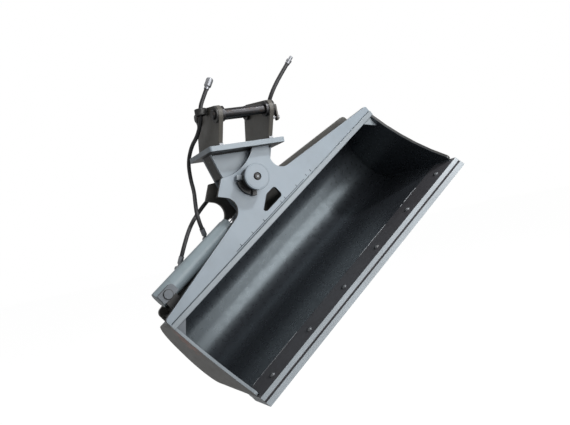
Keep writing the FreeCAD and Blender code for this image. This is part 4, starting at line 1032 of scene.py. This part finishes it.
@dataclass
class Bucket:
    """The bucket with its two pivot plates, in the level bucket's frame."""

    half_wide: float = 750.0
    inside: float = 735.0
    roof: float = -214.0
    mouth: float = -224.0
    floor: float = -604.0
    belly: float = -614.0
    depth: float = 373.0
    back: float = 383.0
    back_inner: float = 168.0
    back_outer: float = 178.0
    edge_rear: float = -165.0
    edge_front: float = -316.0
    bevel: float = 12.0
    edge_thick: float = 25.0
    stop_rise: float = 145.7
    horn_outer: float = 124.0
    horn_width: float = 87.0
    bolt_spots: tuple[float, ...] = (-637.5, -382.5, -127.5, 127.5, 382.5, 637.5)
    bolt_back: float = -258.0
    hollow: float = 875.0
    nose: float = 14.0
    side_front: float = -312.0
    plate_thick: float = 20.0
    rear_plate: float = 180.0
    ticks: tuple[float, ...] = (-262.0, -180.0, -96.0, 34.0, 62.0, 150.0, 228.0, 262.0)
    worn: tuple[tuple[float, float], ...] = (
        (-712.0, -668.0), (-655.0, -405.0), (72.0, 292.0), (418.0, 436.0), (450.0, 560.0),
    )
    horn: list[Corner] = field(default_factory=list)

    def __post_init__(self) -> None:
        """Works out the horn's outline, which both pivot plates share."""
        cos, sin = math.cos(FULL_TILT), math.sin(FULL_TILT)

        def stop(reach: float, arc: float = 0.0) -> Corner:
            """Places a corner of the stop face, turned back to the level bucket.

            Args:
                reach: how far along the stop face it is.
                arc: radius of the arc that follows it.

            Returns:
                The corner.
            """
            return Corner(reach * cos + self.stop_rise * sin, self.stop_rise * cos - reach * sin, arc)

        self.horn = [
            Corner(195.0, -81.0, -62.0),
            Corner(159.0, 24.0),
            stop(self.horn_outer),
            stop(self.horn_outer - self.horn_width, -214.0),
        ]

    def build(self) -> None:
        """Makes every piece of the bucket."""
        self.pivot_plates()
        self.shell()
        self.sides()
        self.mouth_top()
        self.edges()
        self.pivot()
        self.lock()
        self.back_pieces()
        self.lugs()
        self.seams()

    def pivot_plates(self) -> None:
        """The front plate with its window, and the rear plate."""
        window = [
            Corner(-60.0, -164.0, soft=16.0), Corner(64.0, -164.0, soft=16.0),
            Corner(64.0, -104.0, soft=16.0), Corner(5.0, -104.0, soft=16.0), Corner(-60.0, -146.4, soft=2.0),
        ]
        half = [Corner(self.half_wide, self.mouth + 26.0), Corner(self.half_wide, -165.0, soft=14.0), *self.horn]
        form = Form().plate(mirrored(half), Plane.FRONT, 0.0, self.plate_thick, [window]).soften(1.4)
        # Edge faces that face left, up or down take the near-black shade paint: painted shade on the plate's thickness.
        form.mark(lambda face: abs(face.normal.y) < 0.3 and face.normal.x < 0.6)
        form.finish("front_plate_dressed", TILTED, PLATE, "bucket", "frame_paint", ["front_pivot_plate"], DARK)
        # The rear plate takes the dark side paint: painted shade on a plate that lies in shadow.
        half = [Corner(725.0, self.roof), Corner(725.0, -152.0, soft=25.0), *self.horn]
        form = Form().plate(mirrored(half), Plane.FRONT, self.rear_plate, self.plate_thick).soften(1.8)
        form.finish("rear_plate_dressed", TILTED, SHADED_SIDES, "bucket", "dark_paint", ["rear_pivot_plate"])

    def shell(self) -> None:
        """The rolled shell."""
        corners = [
            Corner(self.edge_rear, self.belly),
            Corner(self.back, self.belly, soft=self.back_outer),
            Corner(self.back, self.roof, soft=self.back_outer),
            Corner(20.0, self.roof),
            Corner(20.0, self.mouth),
            Corner(self.depth, self.mouth, soft=self.back_inner),
            Corner(self.depth, self.floor, soft=self.back_inner),
            Corner(self.edge_rear, self.floor),
        ]
        # The shell takes the mouth's near-black gloss: painted shade on the inside.
        form = Form().plate(corners, Plane.SIDE, -self.inside, 2 * self.inside)
        form.finish("shell_dressed", TILTED, MOUTH_SHADE, "bucket", "inside_paint", ["bucket_shell"])

    def nose_points(self) -> tuple[Vector, Vector]:
        """Where the side walls' hollow front edge and their foot meet the round between them.

        Returns:
            The points on the front edge and on the foot.
        """
        top = Vector((0.0, self.mouth, 0.0))
        foot = Vector((self.side_front, self.floor, 0.0))
        chord = foot - top
        away = Vector((chord.y, -chord.x, 0.0)).normalized()
        centre = (top + foot) / 2 + away * math.sqrt(self.hollow**2 - (chord.length / 2) ** 2)
        drop = centre.y - self.floor - self.nose
        middle = Vector((centre.x + math.sqrt((self.hollow + self.nose) ** 2 - drop**2), self.floor + self.nose, 0.0))
        return centre + (middle - centre).normalized() * self.hollow, Vector((middle.x, self.floor, 0.0))

    def sides(self) -> None:
        """The end walls."""
        front, foot = self.nose_points()
        corners = [
            Corner(self.edge_rear, self.belly),
            Corner(self.back, self.belly, soft=self.back_outer),
            Corner(self.back, self.roof, soft=self.back_outer),
            Corner(20.0, self.roof),
            Corner(20.0, self.mouth),
            Corner(0.0, self.mouth, -self.hollow),
            Corner(front.x, front.y, self.nose),
            Corner(foot.x, foot.y),
            Corner(self.edge_rear, self.floor),
        ]
        for name, start, finish in (("left", -self.half_wide, SHADED_SIDES), ("right", self.inside, DARK)):
            form = Form().plate(corners, Plane.SIDE, start, self.half_wide - self.inside).soften(1.6)
            # The left wall's outside takes the dark side paint, painted shade, and its front-facing edge faces take the
            # light edge paint as their lit copy; both walls' inner faces take the mouth's near-black gloss, also
            # painted shade.
            form.mark(lambda face: face.normal.y < -0.5 and name == "left")
            form.mark(lambda face: face.normal.x * start < -0.5, 2)
            form.finish(
                f"side_{name}_dressed", TILTED, finish, "bucket", "frame_paint", [f"side_plate_{name}"],
                EDGE, MOUTH_SHADE,
            )

    def mouth_top(self) -> None:
        """The bar along the mouth's top and the gussets in its corners."""
        corners = [
            Corner(-6.0, self.mouth, soft=4.0), Corner(20.0, self.mouth),
            Corner(20.0, self.mouth + 26.0), Corner(-6.0, self.mouth + 26.0, soft=4.0),
        ]
        form = Form().plate(corners, Plane.SIDE, -self.half_wide, 2 * self.half_wide).soften(1.2)
        form.finish("lip_dressed", TILTED, EDGE, "bucket", "frame_paint", ["mouth_lip_bar"])
        gussets = Form()
        for side in (-1.0, 1.0):
            gussets.plate(
                [
                    Corner(side * self.inside, self.mouth), Corner(side * (self.inside - 60.0), self.mouth),
                    Corner(side * self.inside, self.mouth - 60.0),
                ],
                Plane.FRONT, 10.0, 10.0,
            )
        # The left gusset's faces take the darker grey paint, painted shade, while the right one keeps the light edge
        # paint.
        gussets.soften(1.2).mark(lambda face: face.calc_center_median().x < 0.0).finish(
            "corner_gussets_dressed", TILTED, EDGE, "bucket", "frame_paint", ["corner_gussets"], GREY
        )

    def edges(self) -> None:
        """The base edge, the bolt-on edge, and their bolts and nuts."""
        middle = self.floor - self.edge_thick
        low = middle - self.edge_thick
        tip = self.edge_front - self.bevel
        corners = [
            Corner(self.edge_rear, self.floor), Corner(self.edge_front, self.floor),
            Corner(tip, middle, soft=5.0), Corner(self.edge_rear, middle),
        ]
        form = Form().plate(corners, Plane.SIDE, -self.half_wide, 2 * self.half_wide).soften(1.2)
        # Upward faces and the faces of the groove between the two edges take the darker ledge paint, painted shade; the
        # front bevels keep the light edge paint.
        form.mark(lambda face: face.normal.z > 0.85 or (-0.9 < face.normal.z < 0.36 and face.normal.y < -0.2))
        form.finish("base_edge_dressed", TILTED, EDGE, "bucket", "edge_steel", ["base_edge"], LEDGE_SHADE)
        corners = [
            Corner(tip, middle, soft=5.0), Corner(tip - self.bevel, low),
            Corner(tip - self.bevel + 165.0, low), Corner(tip - self.bevel + 165.0, middle),
        ]
        form = Form().plate(corners, Plane.SIDE, -self.half_wide, 2 * self.half_wide).soften(1.2)
        # The groove's upper faces take the darker ledge paint: painted shade in the groove.
        form.mark(lambda face: face.normal.z > 0.52)
        form.finish("bolt_on_edge_dressed", TILTED, EDGE, "bucket", "edge_steel", ["bolt_on_edge"], LEDGE_SHADE)
        places = [Matrix.Translation((spot, self.bolt_back, self.floor)) for spot in self.bolt_spots]
        head = Form().turned(
            [(0.0, 9.0), (5.5, 8.7), (10.0, 7.2), (13.4, 4.4), (15.0, 1.2), (15.0, 0.0), (0.0, 0.0)], steps=32
        )
        shank = Form().turned([(0.0, -66.9), (7.0, -66.9), (8.0, -65.5), (8.0, 0.0), (0.0, 0.0)], steps=24)
        head.add(shank).copy_at(places)
        head.finish("edge_bolts_dressed", TILTED, BOLT, "bucket", "bare_steel", ["edge_bolts"])
        nuts = Form().hexagon(24.0, -63.0, -50.0).soften(1.2).copy_at(places)
        nuts.finish("edge_nuts_dressed", TILTED, BOLT, "bucket", "bare_steel", ["edge_nuts"])

    def turned(self, name: str, profile: list[tuple[float, float]], finish: Finish, slot: str,
               soft: float = 1.4, sunk: float = 0.0) -> None:
        """Makes a piece turned about the tilt axis.

        Args:
            name: the node that it stands for.
            profile: its closed profile of (radius, height) points.
            finish: what it is finished in.
            slot: the record's material slot.
            soft: how far its edges are bevelled.
            sunk: radius inside which its faces take the near-black shade paint, painted shade in the recess.
        """
        form = Form().turned(profile).soften(soft)
        # Faces inside that radius take the near-black shade paint: painted shade in the recess.
        if sunk:
            form.mark(lambda face: face.calc_center_median().xy.length < sunk)
        form.turn(ABOUT_Y).finish(f"{name}_dressed", TILTED, finish, "bucket", slot, [name], DARK)

    def pivot(self) -> None:
        """Bosses, cap, washer and bolts about the tilt axis."""
        self.turned(
            "pivot_boss_front",
            [
                (25.05, -65.0), (51.0, -65.0), (51.0, -47.0), (55.0, -45.0), (55.0, 39.4), (25.05, 39.4),
            ],
            DARK, "frame_paint",
        )
        self.turned("pivot_boss_rear", [(25.05, 180.0), (50.0, 180.0), (50.0, 215.0), (25.05, 215.0)],
                    DARK, "dark_paint")
        self.turned("rear_pivot_washer", [(10.05, 215.0), (42.0, 215.0), (42.0, 223.0), (10.05, 223.0)],
                    BOLT, "bare_steel")
        self.turned(
            "pivot_cap",
            [
                (10.05, -65.0), (62.5, -65.0), (62.5, -75.0), (60.5, -77.0), (57.5, -77.0), (57.0, -76.0),
                (56.0, -76.0), (55.5, -77.0), (19.0, -77.0), (19.0, -72.0), (10.05, -72.0),
            ],
            PLATE, "frame_paint", 0.7, 19.2,
        )
        for name, low, high, seat, end in (
            ("pivot_cap_bolt", -82.0, -72.0, -72.0, -20.3), ("rear_pivot_bolt", 223.0, 233.0, 170.3, 223.0)
        ):
            inset = 1.2 if low < 0.0 else 0.0
            form = Form().hexagon(28.0, low + inset, high - 1.2 + inset).soften(3.6, 3)
            spot = Form().turned([(0.0, low), (5.2, low), (5.2, high), (0.0, high)], steps=24)
            form.add(spot.mark(lambda face: True))
            form.add(Form().turned([(0.0, seat), (10.0, seat), (10.0, end), (0.0, end)], steps=24))
            form.turn(ABOUT_Y).finish(f"{name}_dressed", TILTED, DARK, "bucket", "bare_steel", [name], BOLT)

    def lock(self) -> None:
        """The lugs beside the boss and the round-edged plate held between them."""
        lugs = Form()
        for index, angle in enumerate((137.0, 231.0)):
            lug = Form().plate(
                [Corner(54.0, -11.0), Corner(81.8, -11.0), Corner(81.8, 11.0), Corner(54.0, 11.0)],
                Plane.TOP, 0.0, 24.0,
            )
            # The lower lug takes the near-black shade paint and the upper one the light edge paint: the lower one's
            # darkness is the painted shadow of the cap and boss.
            lug.soften(1.6).mark(lambda face: index == 1)
            lugs.add(lug.turn(ABOUT_Y @ Matrix.Rotation(math.radians(-angle), 4, "Z") @ Matrix.Scale(-1, 4, (0, 0, 1))))
        lugs.finish("boss_lugs_dressed", TILTED, EDGE, "bucket", "dark_paint", ["boss_lugs"], DARK)
        ends = [Vector((math.cos(angle), math.sin(angle), 0.0)) for angle in map(math.radians, (150.0, 218.0))]
        corners = [
            Corner(*(ends[0] * 79.0).xy, 79.0), Corner(*(ends[1] * 79.0).xy),
            Corner(*(ends[1] * 55.0).xy, -55.0), Corner(*(ends[0] * 55.0).xy),
        ]
        form = Form().plate(corners, Plane.FRONT, -18.0, 18.0).soften(2.0, 3)
        form.finish("lock_plate_dressed", TILTED, DARK, "bucket", "dark_paint", ["lock_plate"])

    def back_pieces(self) -> None:
        """The end plates between the arms and the ribs behind them."""
        for name, start in (("left", -712.0), ("right", 700.0)):
            corners = [
                Corner(20.0, self.roof), Corner(180.0, self.roof), Corner(180.0, self.roof + 34.0),
                Corner(20.0, self.roof + 17.0),
            ]
            form = Form().plate(corners, Plane.SIDE, start, 12.0).soften(1.2)
            form.finish(f"end_plate_{name}_dressed", TILTED, DARK, "bucket", "frame_paint",
                        [f"end_plate_{name}"])
        ribs = Form()
        centre = Vector((self.back - self.back_outer, self.roof - self.back_outer, 0.0))
        reach = math.radians(50.0)
        end = centre + Vector((math.sin(reach), math.cos(reach), 0.0)) * self.back_outer
        for start in (262.0, -277.0):
            ribs.plate(
                [
                    Corner(200.0, self.roof), Corner(centre.x, self.roof, -self.back_outer),
                    Corner(end.x, end.y), Corner(200.0, self.roof + 70.0),
                ],
                Plane.SIDE, start, 15.0,
            )
        ribs.soften(1.2).finish("rear_ribs_dressed", TILTED, DARK, "bucket", "dark_paint", ["rear_ribs"])

    def lugs(self) -> None:
        """The cylinder's two lugs and its base pin."""
        leg = [
            Corner(-684.0, self.roof), Corner(-620.0, self.roof), Corner(-620.0, -74.0), Corner(-684.0, -74.0),
        ]
        plate = [
            Corner(-694.0, -123.0), Corner(-604.0, -123.0), Corner(-604.0, -74.0, soft=18.0),
            Corner(-694.0, -74.0),
        ]
        # The leg takes the near-black shade paint and the plate in front the grey paint: the leg's darkness is painted
        # shade behind the plate.
        form = Form().plate(leg, Plane.FRONT, 56.0, 10.0).mark(lambda face: True)
        form.add(Form().plate(plate, Plane.FRONT, 46.0, 10.0)).soften(1.2)
        form.finish("cylinder_lug_front_dressed", TILTED, GREY, "bucket", "frame_paint",
                    ["cylinder_lug_front"], DARK)
        form = Form().plate(leg, Plane.FRONT, 154.0, 20.0).soften(1.4)
        form.finish("cylinder_lug_rear_dressed", TILTED, DARK, "bucket", "frame_paint",
                    ["cylinder_lug_rear"])
        pin = Form().turned(
            [
                (0.0, 39.4), (21.0, 39.4), (23.0, 41.4), (23.0, 46.0), (17.5, 46.0), (17.5, 172.0),
                (15.5, 174.0), (0.0, 174.0),
            ]
        )
        pin.soften(0.6).mark(lambda face: face.calc_center_median().xy.length > 18.0)
        pin.turn(Matrix.Translation(BASE_PIN) @ ABOUT_Y)
        pin.finish("base_pin_dressed", TILTED, GREY, "bucket", "bare_steel", ["cylinder_base_pin"], DARK)

    def seams(self) -> None:
        """Weld beads inside the bucket, along the arms and round the lugs."""
        inner = Form()
        for side in (-1.0, 1.0):
            wall = side * self.inside
            inner.bead(Vector((wall, 30.0, self.mouth)), Vector((wall, 200.0, self.mouth)), 4.0)
            inner.bead(Vector((wall, self.edge_front + 30.0, self.floor)), Vector((wall, 200.0, self.floor)), 4.0)
        # The dark beads along the front of the lip seam, with the short ticks across the upper one, are painted shade:
        # they stand in for the shadow lines at the weld's toes.
        inner.bead(Vector((-742.0, -1.0, self.mouth + 27.5)), Vector((742.0, -1.0, self.mouth + 27.5)), 2.6)
        inner.bead(Vector((-300.0, -0.5, self.mouth + 35.0)), Vector((205.0, -0.5, self.mouth + 35.0)), 2.0)
        for spot in self.ticks:
            foot = Vector((spot, -0.5, self.mouth + 36.0))
            inner.bead(foot, foot + Vector((0.0, 0.0, 12.0)), 1.8, 4.0)
        inner.finish("inner_seams", TILTED, MOUTH_SHADE, "bucket", "inside_paint")
        worn = Form()
        for start, end in self.worn:
            worn.bead(Vector((start, self.edge_rear, self.floor)), Vector((end, self.edge_rear, self.floor)), 1.8)
        worn.finish("worn_seam", TILTED, BOLT, "bucket", "bare_steel")
        beads = Form()
        beads.bead(Vector((-610.0, 20.0, self.roof)), Vector((610.0, 20.0, self.roof)), 4.0)
        beads.bead(Vector((-700.0, 200.0, self.roof)), Vector((700.0, 200.0, self.roof)), 4.0)
        for back in (46.0, 174.0):
            beads.bead(Vector((-680.0, back, self.roof)), Vector((-624.0, back, self.roof)), 4.0)
        beads.finish("bucket_seams", TILTED, DARK, "bucket", "dark_paint")


@dataclass
class Cylinder:
    """The tilt cylinder, along its own axis from the base pin."""

    barrel: float = 42.5
    bore: float = 35.0
    base_start: float = -42.0
    base_end: float = 50.0
    end: float = 430.0
    gland: float = 40.0
    gland_end: float = 452.0
    rod: float = 20.0

    def build(self) -> None:
        """Makes the barrel's visible pieces: its base end, tube and gland."""
        base = Form().turned(
            [
                (0.0, self.base_start), (self.barrel - 1.5, self.base_start),
                (self.barrel, self.base_start + 1.5), (self.barrel, self.base_end), (0.0, self.base_end),
            ]
        )
        self.along(base, "cylinder_base_end", CYLINDER, "barrel", "cylinder_paint")
        tube = Form().turned(
            [
                (self.bore, self.base_end), (self.barrel, self.base_end), (self.barrel, self.end),
                (self.bore, self.end),
            ],
            steps=96,
        )
        self.along(tube, "cylinder_barrel", CYLINDER, "barrel", "cylinder_paint")
        gland = Form().turned(
            [
                (self.rod + 0.05, self.end), (self.gland, self.end), (self.gland, self.gland_end),
                (self.rod + 0.05, self.gland_end),
            ]
        )
        self.along(gland, "cylinder_gland", CYLINDER, "barrel", "cylinder_paint", 1.4)

    def along(self, form: Form, name: str, finish: Finish, body: str, slot: str, soft: float = 0.8) -> None:
        """Finishes a form turned about the cylinder's axis.

        Args:
            form: the form, turned about Z.
            name: the node that it stands for.
            finish: what it is finished in.
            body: the body that it rides on.
            slot: the record's material slot.
            soft: how far its edges are bevelled.
        """
        form.soften(soft).turn(ABOUT_X)
        form.finish(f"{name}_dressed", ALONG_CYLINDER, finish, body, slot, [name])


@dataclass
class Hose:
    """A hose with its route in the pivot frame, from its coupling to its ferrule."""

    side: str
    route: tuple[tuple[float, float, float], ...]
    port: float
    lean: float
    profile: tuple[tuple[float, float], ...]
    coupling: str
    bend: tuple[tuple[float, float, float], tuple[float, float, float]]
    diameter: float = 20.0
    ferrule_end: float = 62.0
    port_middle: float = 59.0
    straight: float = 64.0

    def points(self) -> list[Vector]:
        """Works out where the route runs, down to the port.

        Returns:
            The route's points in metres, in the part's frame.
        """
        lean = math.radians(self.lean)
        way = Vector((math.sin(lean), -math.cos(lean), 0.0))
        eye = Vector((self.port, 0.0, self.port_middle))
        mouth = PORT_SIDE @ (eye + way * self.ferrule_end)
        leave = PORT_SIDE @ (eye + way * (self.ferrule_end + self.straight))
        return [*(LEVEL @ Vector(point) for point in self.route), leave, mouth]

    def curve(self, name: str, radius: float) -> bpy.types.Mesh:
        """The route's smooth line as a mesh.

        Args:
            name: the mesh's name.
            radius: the tube's radius, or 0 for the bare line.

        Returns:
            The mesh.
        """
        data = bpy.data.curves.new(name, "CURVE")
        data.dimensions = "3D"
        spline = data.splines.new("NURBS")
        points = self.points()
        spline.points.add(len(points) - 1)
        for target, point in zip(spline.points, points):
            target.co = (*point, 1.0)
        spline.order_u = 3
        spline.use_endpoint_u = True
        data.resolution_u = 14
        data.bevel_depth = radius
        data.bevel_resolution = 6
        data.use_fill_caps = True
        holder = shown(name, data)
        bpy.context.view_layer.update()
        graph = bpy.context.evaluated_depsgraph_get()
        mesh = bpy.data.meshes.new_from_object(holder.evaluated_get(graph))
        bpy.data.objects.remove(holder)
        return mesh

    def build(self) -> None:
        """Makes the hose and the half coupling on its end."""
        line = self.curve(f"hose_{self.side}_line", 0.0)
        bpy.data.meshes.remove(line)
        mesh = self.curve(f"hose_{self.side}_tube", self.diameter / 2000.0)
        name = f"hose_{self.side}_dressed"
        mesh.name = name
        mesh.polygons.foreach_set("use_smooth", [True] * len(mesh.polygons))
        mesh.materials.clear()
        mesh.materials.append(RUBBER.material())
        tube = shown(name, mesh)
        place = LEVEL @ Matrix.Translation(self.route[0])
        away = Vector(self.route[0]) - Vector(self.route[1])
        form = Form().turned(list(self.profile), steps=40).soften(0.8)
        half = form.finish(
            f"{self.coupling}_dressed", place @ away.to_track_quat("Z", "Y").to_matrix().to_4x4(),
            ZINC, "hanger", "zinc", [self.coupling],
        )
        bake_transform(tube)
        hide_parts(f"hose_{self.side}")


HOSES = (
    Hose(
        "left",
        (
            (-121, 30, 452), (-146, 31, 411), (-167, 34, 372), (-172, 42, 316), (-178, 110, 256),
            (-182, 225, 226), (-187, 312, 160), (-197, 296, 72), (-209, 244, 4), (-236, 176, -44),
        ),
        335.0, 14.0,
        (
            (0, 0), (12, 0), (12, 11.6), (17, 17.4), (17, 52.2), (14, 58), (9, 58), (9, 32), (0, 32),
        ),
        "coupling_socket",
        ((-187, 312, 190), (-262, 120, -130)),
    ),
    Hose(
        "right",
        (
            (286, -50, 518), (224, -50, 452), (168, -46, 378), (156, 0, 318), (160, 92, 280),
            (166, 200, 246), (160, 306, 190), (116, 336, 112), (30, 318, 52), (-66, 272, 4),
            (-150, 226, -46), (-222, 205, -102), (-280, 186, -158),
        ),
        138.0, 54.0,
        (
            (0, 0), (12, 0), (12, 14.4), (13.5, 14.4), (13.5, 24), (8.75, 24), (8.75, 46), (0, 46),
        ),
        "coupling_plug",
        ((60, 326, 70), (-333, 138, -234)),
    ),
)

KEPT = {
    PIN: ("pivot_pin", "rod_pin_ends", "rod_eye_pin", "cylinder_piston", "thrust_washers"),
    BRONZE: ("pivot_bushes",),
    DARK: ("pivot_tube",),
    CYLINDER: ("port_bosses", "rod_eye"),
    ZINC: ("hose_fittings", "port_bolts"),
    CHROME: ("cylinder_rod",),
}


def dress_kept(frame: dict) -> None:
    """Gives the pieces that stay as they are their finishes.

    Args:
        frame: the loaded frame.
    """
    nodes = frame["nodes"]
    for finish, names in KEPT.items():
        for name in names:
            for place in nodes[name].material_slots:
                place.material = finish.material()


@dataclass(frozen=True)
class Studio:
    """The camera, the lamps, the floor and the pale surround."""

    eye: tuple[float, float, float] = (-1.2228, -2.7678, -0.5653)
    right: tuple[float, float, float] = (0.88498, -0.41930, -0.20249)
    down: tuple[float, float, float] = (-0.17345, 0.10672, -0.97904)
    forward: tuple[float, float, float] = (0.43212, 0.90155, 0.02171)
    focal_pixels: float = 653.98
    width_pixels: float = 570.0
    sensor: float = 36.0
    floor: float = -1.56
    ambient: float = 0.18
    gloss: float = 0.35
    floor_reach: float = 30.0
    white: tuple[float, float, float, float] = (1.0, 1.0, 1.0, 1.0)
    paper: tuple[float, float, float, float] = (0.86, 0.86, 0.86, 1.0)
    shade: tuple[float, float, float, float] = (0.24, 0.24, 0.24, 1.0)
    glow: float = 1.20
    glow_share: float = 0.8

    def build(self) -> None:
        """Makes the whole studio."""
        self.camera()
        self.world()
        self.ground()
        self.lamp("key", (1.94, -5.0, 0.24), (3.0, 5.5), 215.0, (1.94, 0.0, 0.24), (0.834, 0.0, 0.552))
        self.lamp("crisp", (2.4, -3.4, 3.2), (0.4, 0.4), 118.0)
        self.lamp("top", (-0.3, 0.5, 2.8), (2.0, 2.0), 20.0)

    def camera(self) -> None:
        """The photograph's viewpoint."""
        data = bpy.data.cameras.new("camera")
        data.sensor_fit = "HORIZONTAL"
        data.sensor_width = self.sensor
        data.lens = self.focal_pixels / self.width_pixels * self.sensor
        data.clip_end = 100.0
        camera = shown("camera", data)
        axes = (Vector(self.right), -Vector(self.down), -Vector(self.forward))
        turn = Matrix([axis.normalized() for axis in axes]).transposed().to_4x4()
        camera.matrix_world = Matrix.Translation(self.eye) @ turn
        bpy.context.scene.camera = camera

    def lamp(self, name: str, place: tuple[float, float, float], size: tuple[float, float], power: float,
             aim: tuple[float, float, float] = (0.0, 0.1, -0.5),
             along: tuple[float, float, float] = (1.0, 0.0, 0.0)) -> None:
        """A soft rectangular lamp.

        Args:
            name: the lamp's name.
            place: where it stands.
            size: its width and height.
            power: its power in watts.
            aim: the point that it faces.
            along: the way that its width runs.
        """
        data = bpy.data.lights.new(name, "AREA")
        data.shape = "RECTANGLE"
        data.size, data.size_y = size
        data.energy = power
        lamp = shown(name, data)
        away = (Vector(place) - Vector(aim)).normalized()
        up = away.cross(Vector(along)).normalized()
        turn = Matrix((up.cross(away), up, away)).transposed().to_4x4()
        lamp.matrix_world = Matrix.Translation(place) @ turn

    def seen(self, shader: Shader) -> Value:
        """Tells what the eye sees, straight or in gloss, from what lights the part.

        Args:
            shader: the nodes of the world or the floor.

        Returns:
            1 for what the eye sees, less in gloss, and 0 for what lights the part.
        """
        path = shader.node("ShaderNodeLightPath")
        camera = Value(shader, path.outputs["Is Camera Ray"])
        glossy = Value(shader, path.outputs["Is Glossy Ray"])
        through = Value(shader, path.outputs["Is Transmission Ray"])
        return camera.most(glossy * self.gloss).most(through)

    def world(self) -> None:
        """The pale surround."""
        world = bpy.data.worlds.new("surround")
        bpy.context.scene.world = world
        world.use_nodes = True
        shader = Shader(world.node_tree)
        strength = self.seen(shader) * (1.0 - self.ambient) + self.ambient
        white = shader.node("ShaderNodeBackground", None, {"Color": self.white, "Strength": strength})
        shader.node("ShaderNodeOutputWorld", None, {"Surface": white.outputs[0]})

    def ground(self) -> None:
        """The plain pale floor, which keeps the part's shadow."""
        form = Form()
        bmesh.ops.create_grid(form.mesh, x_segments=1, y_segments=1, size=self.floor_reach)
        form.turn(Matrix.Translation((0.0, 0.0, self.floor)))
        data = bpy.data.meshes.new("floor")
        form.mesh.to_mesh(data)
        form.mesh.free()
        floor = shown("floor", data)
        material = bpy.data.materials.new("floor_paper")
        material.use_nodes = True
        shader = Shader(material.node_tree)
        paper = shader.node("ShaderNodeBsdfDiffuse", None, {"Color": self.paper})
        glow = shader.node("ShaderNodeEmission", None, {"Color": self.white, "Strength": self.glow})
        pale = shader.node(
            "ShaderNodeMixShader", None, {0: self.glow_share, 1: paper.outputs[0], 2: glow.outputs[0]}
        )
        shade = shader.node("ShaderNodeBsdfDiffuse", None, {"Color": self.shade})
        both = shader.node(
            "ShaderNodeMixShader", None, {0: self.seen(shader), 1: shade.outputs[0], 2: pale.outputs[0]}
        )
        shader.node("ShaderNodeOutputMaterial", None, {"Surface": both.outputs[0]})
        data.materials.append(material)


def main() -> None:
    """Loads the frame and dresses it."""
    logging.basicConfig(level=logging.INFO, format="%(name)s %(message)s")
    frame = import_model()
    scene = bpy.context.scene
    scene.view_settings.view_transform = "Standard"
    Studio().build()
    for hose in HOSES:
        hose.build()
    Hanger().build()
    Bucket().build()
    Cylinder().build()
    dress_kept(frame)


if __name__ == "__main__":
    main()
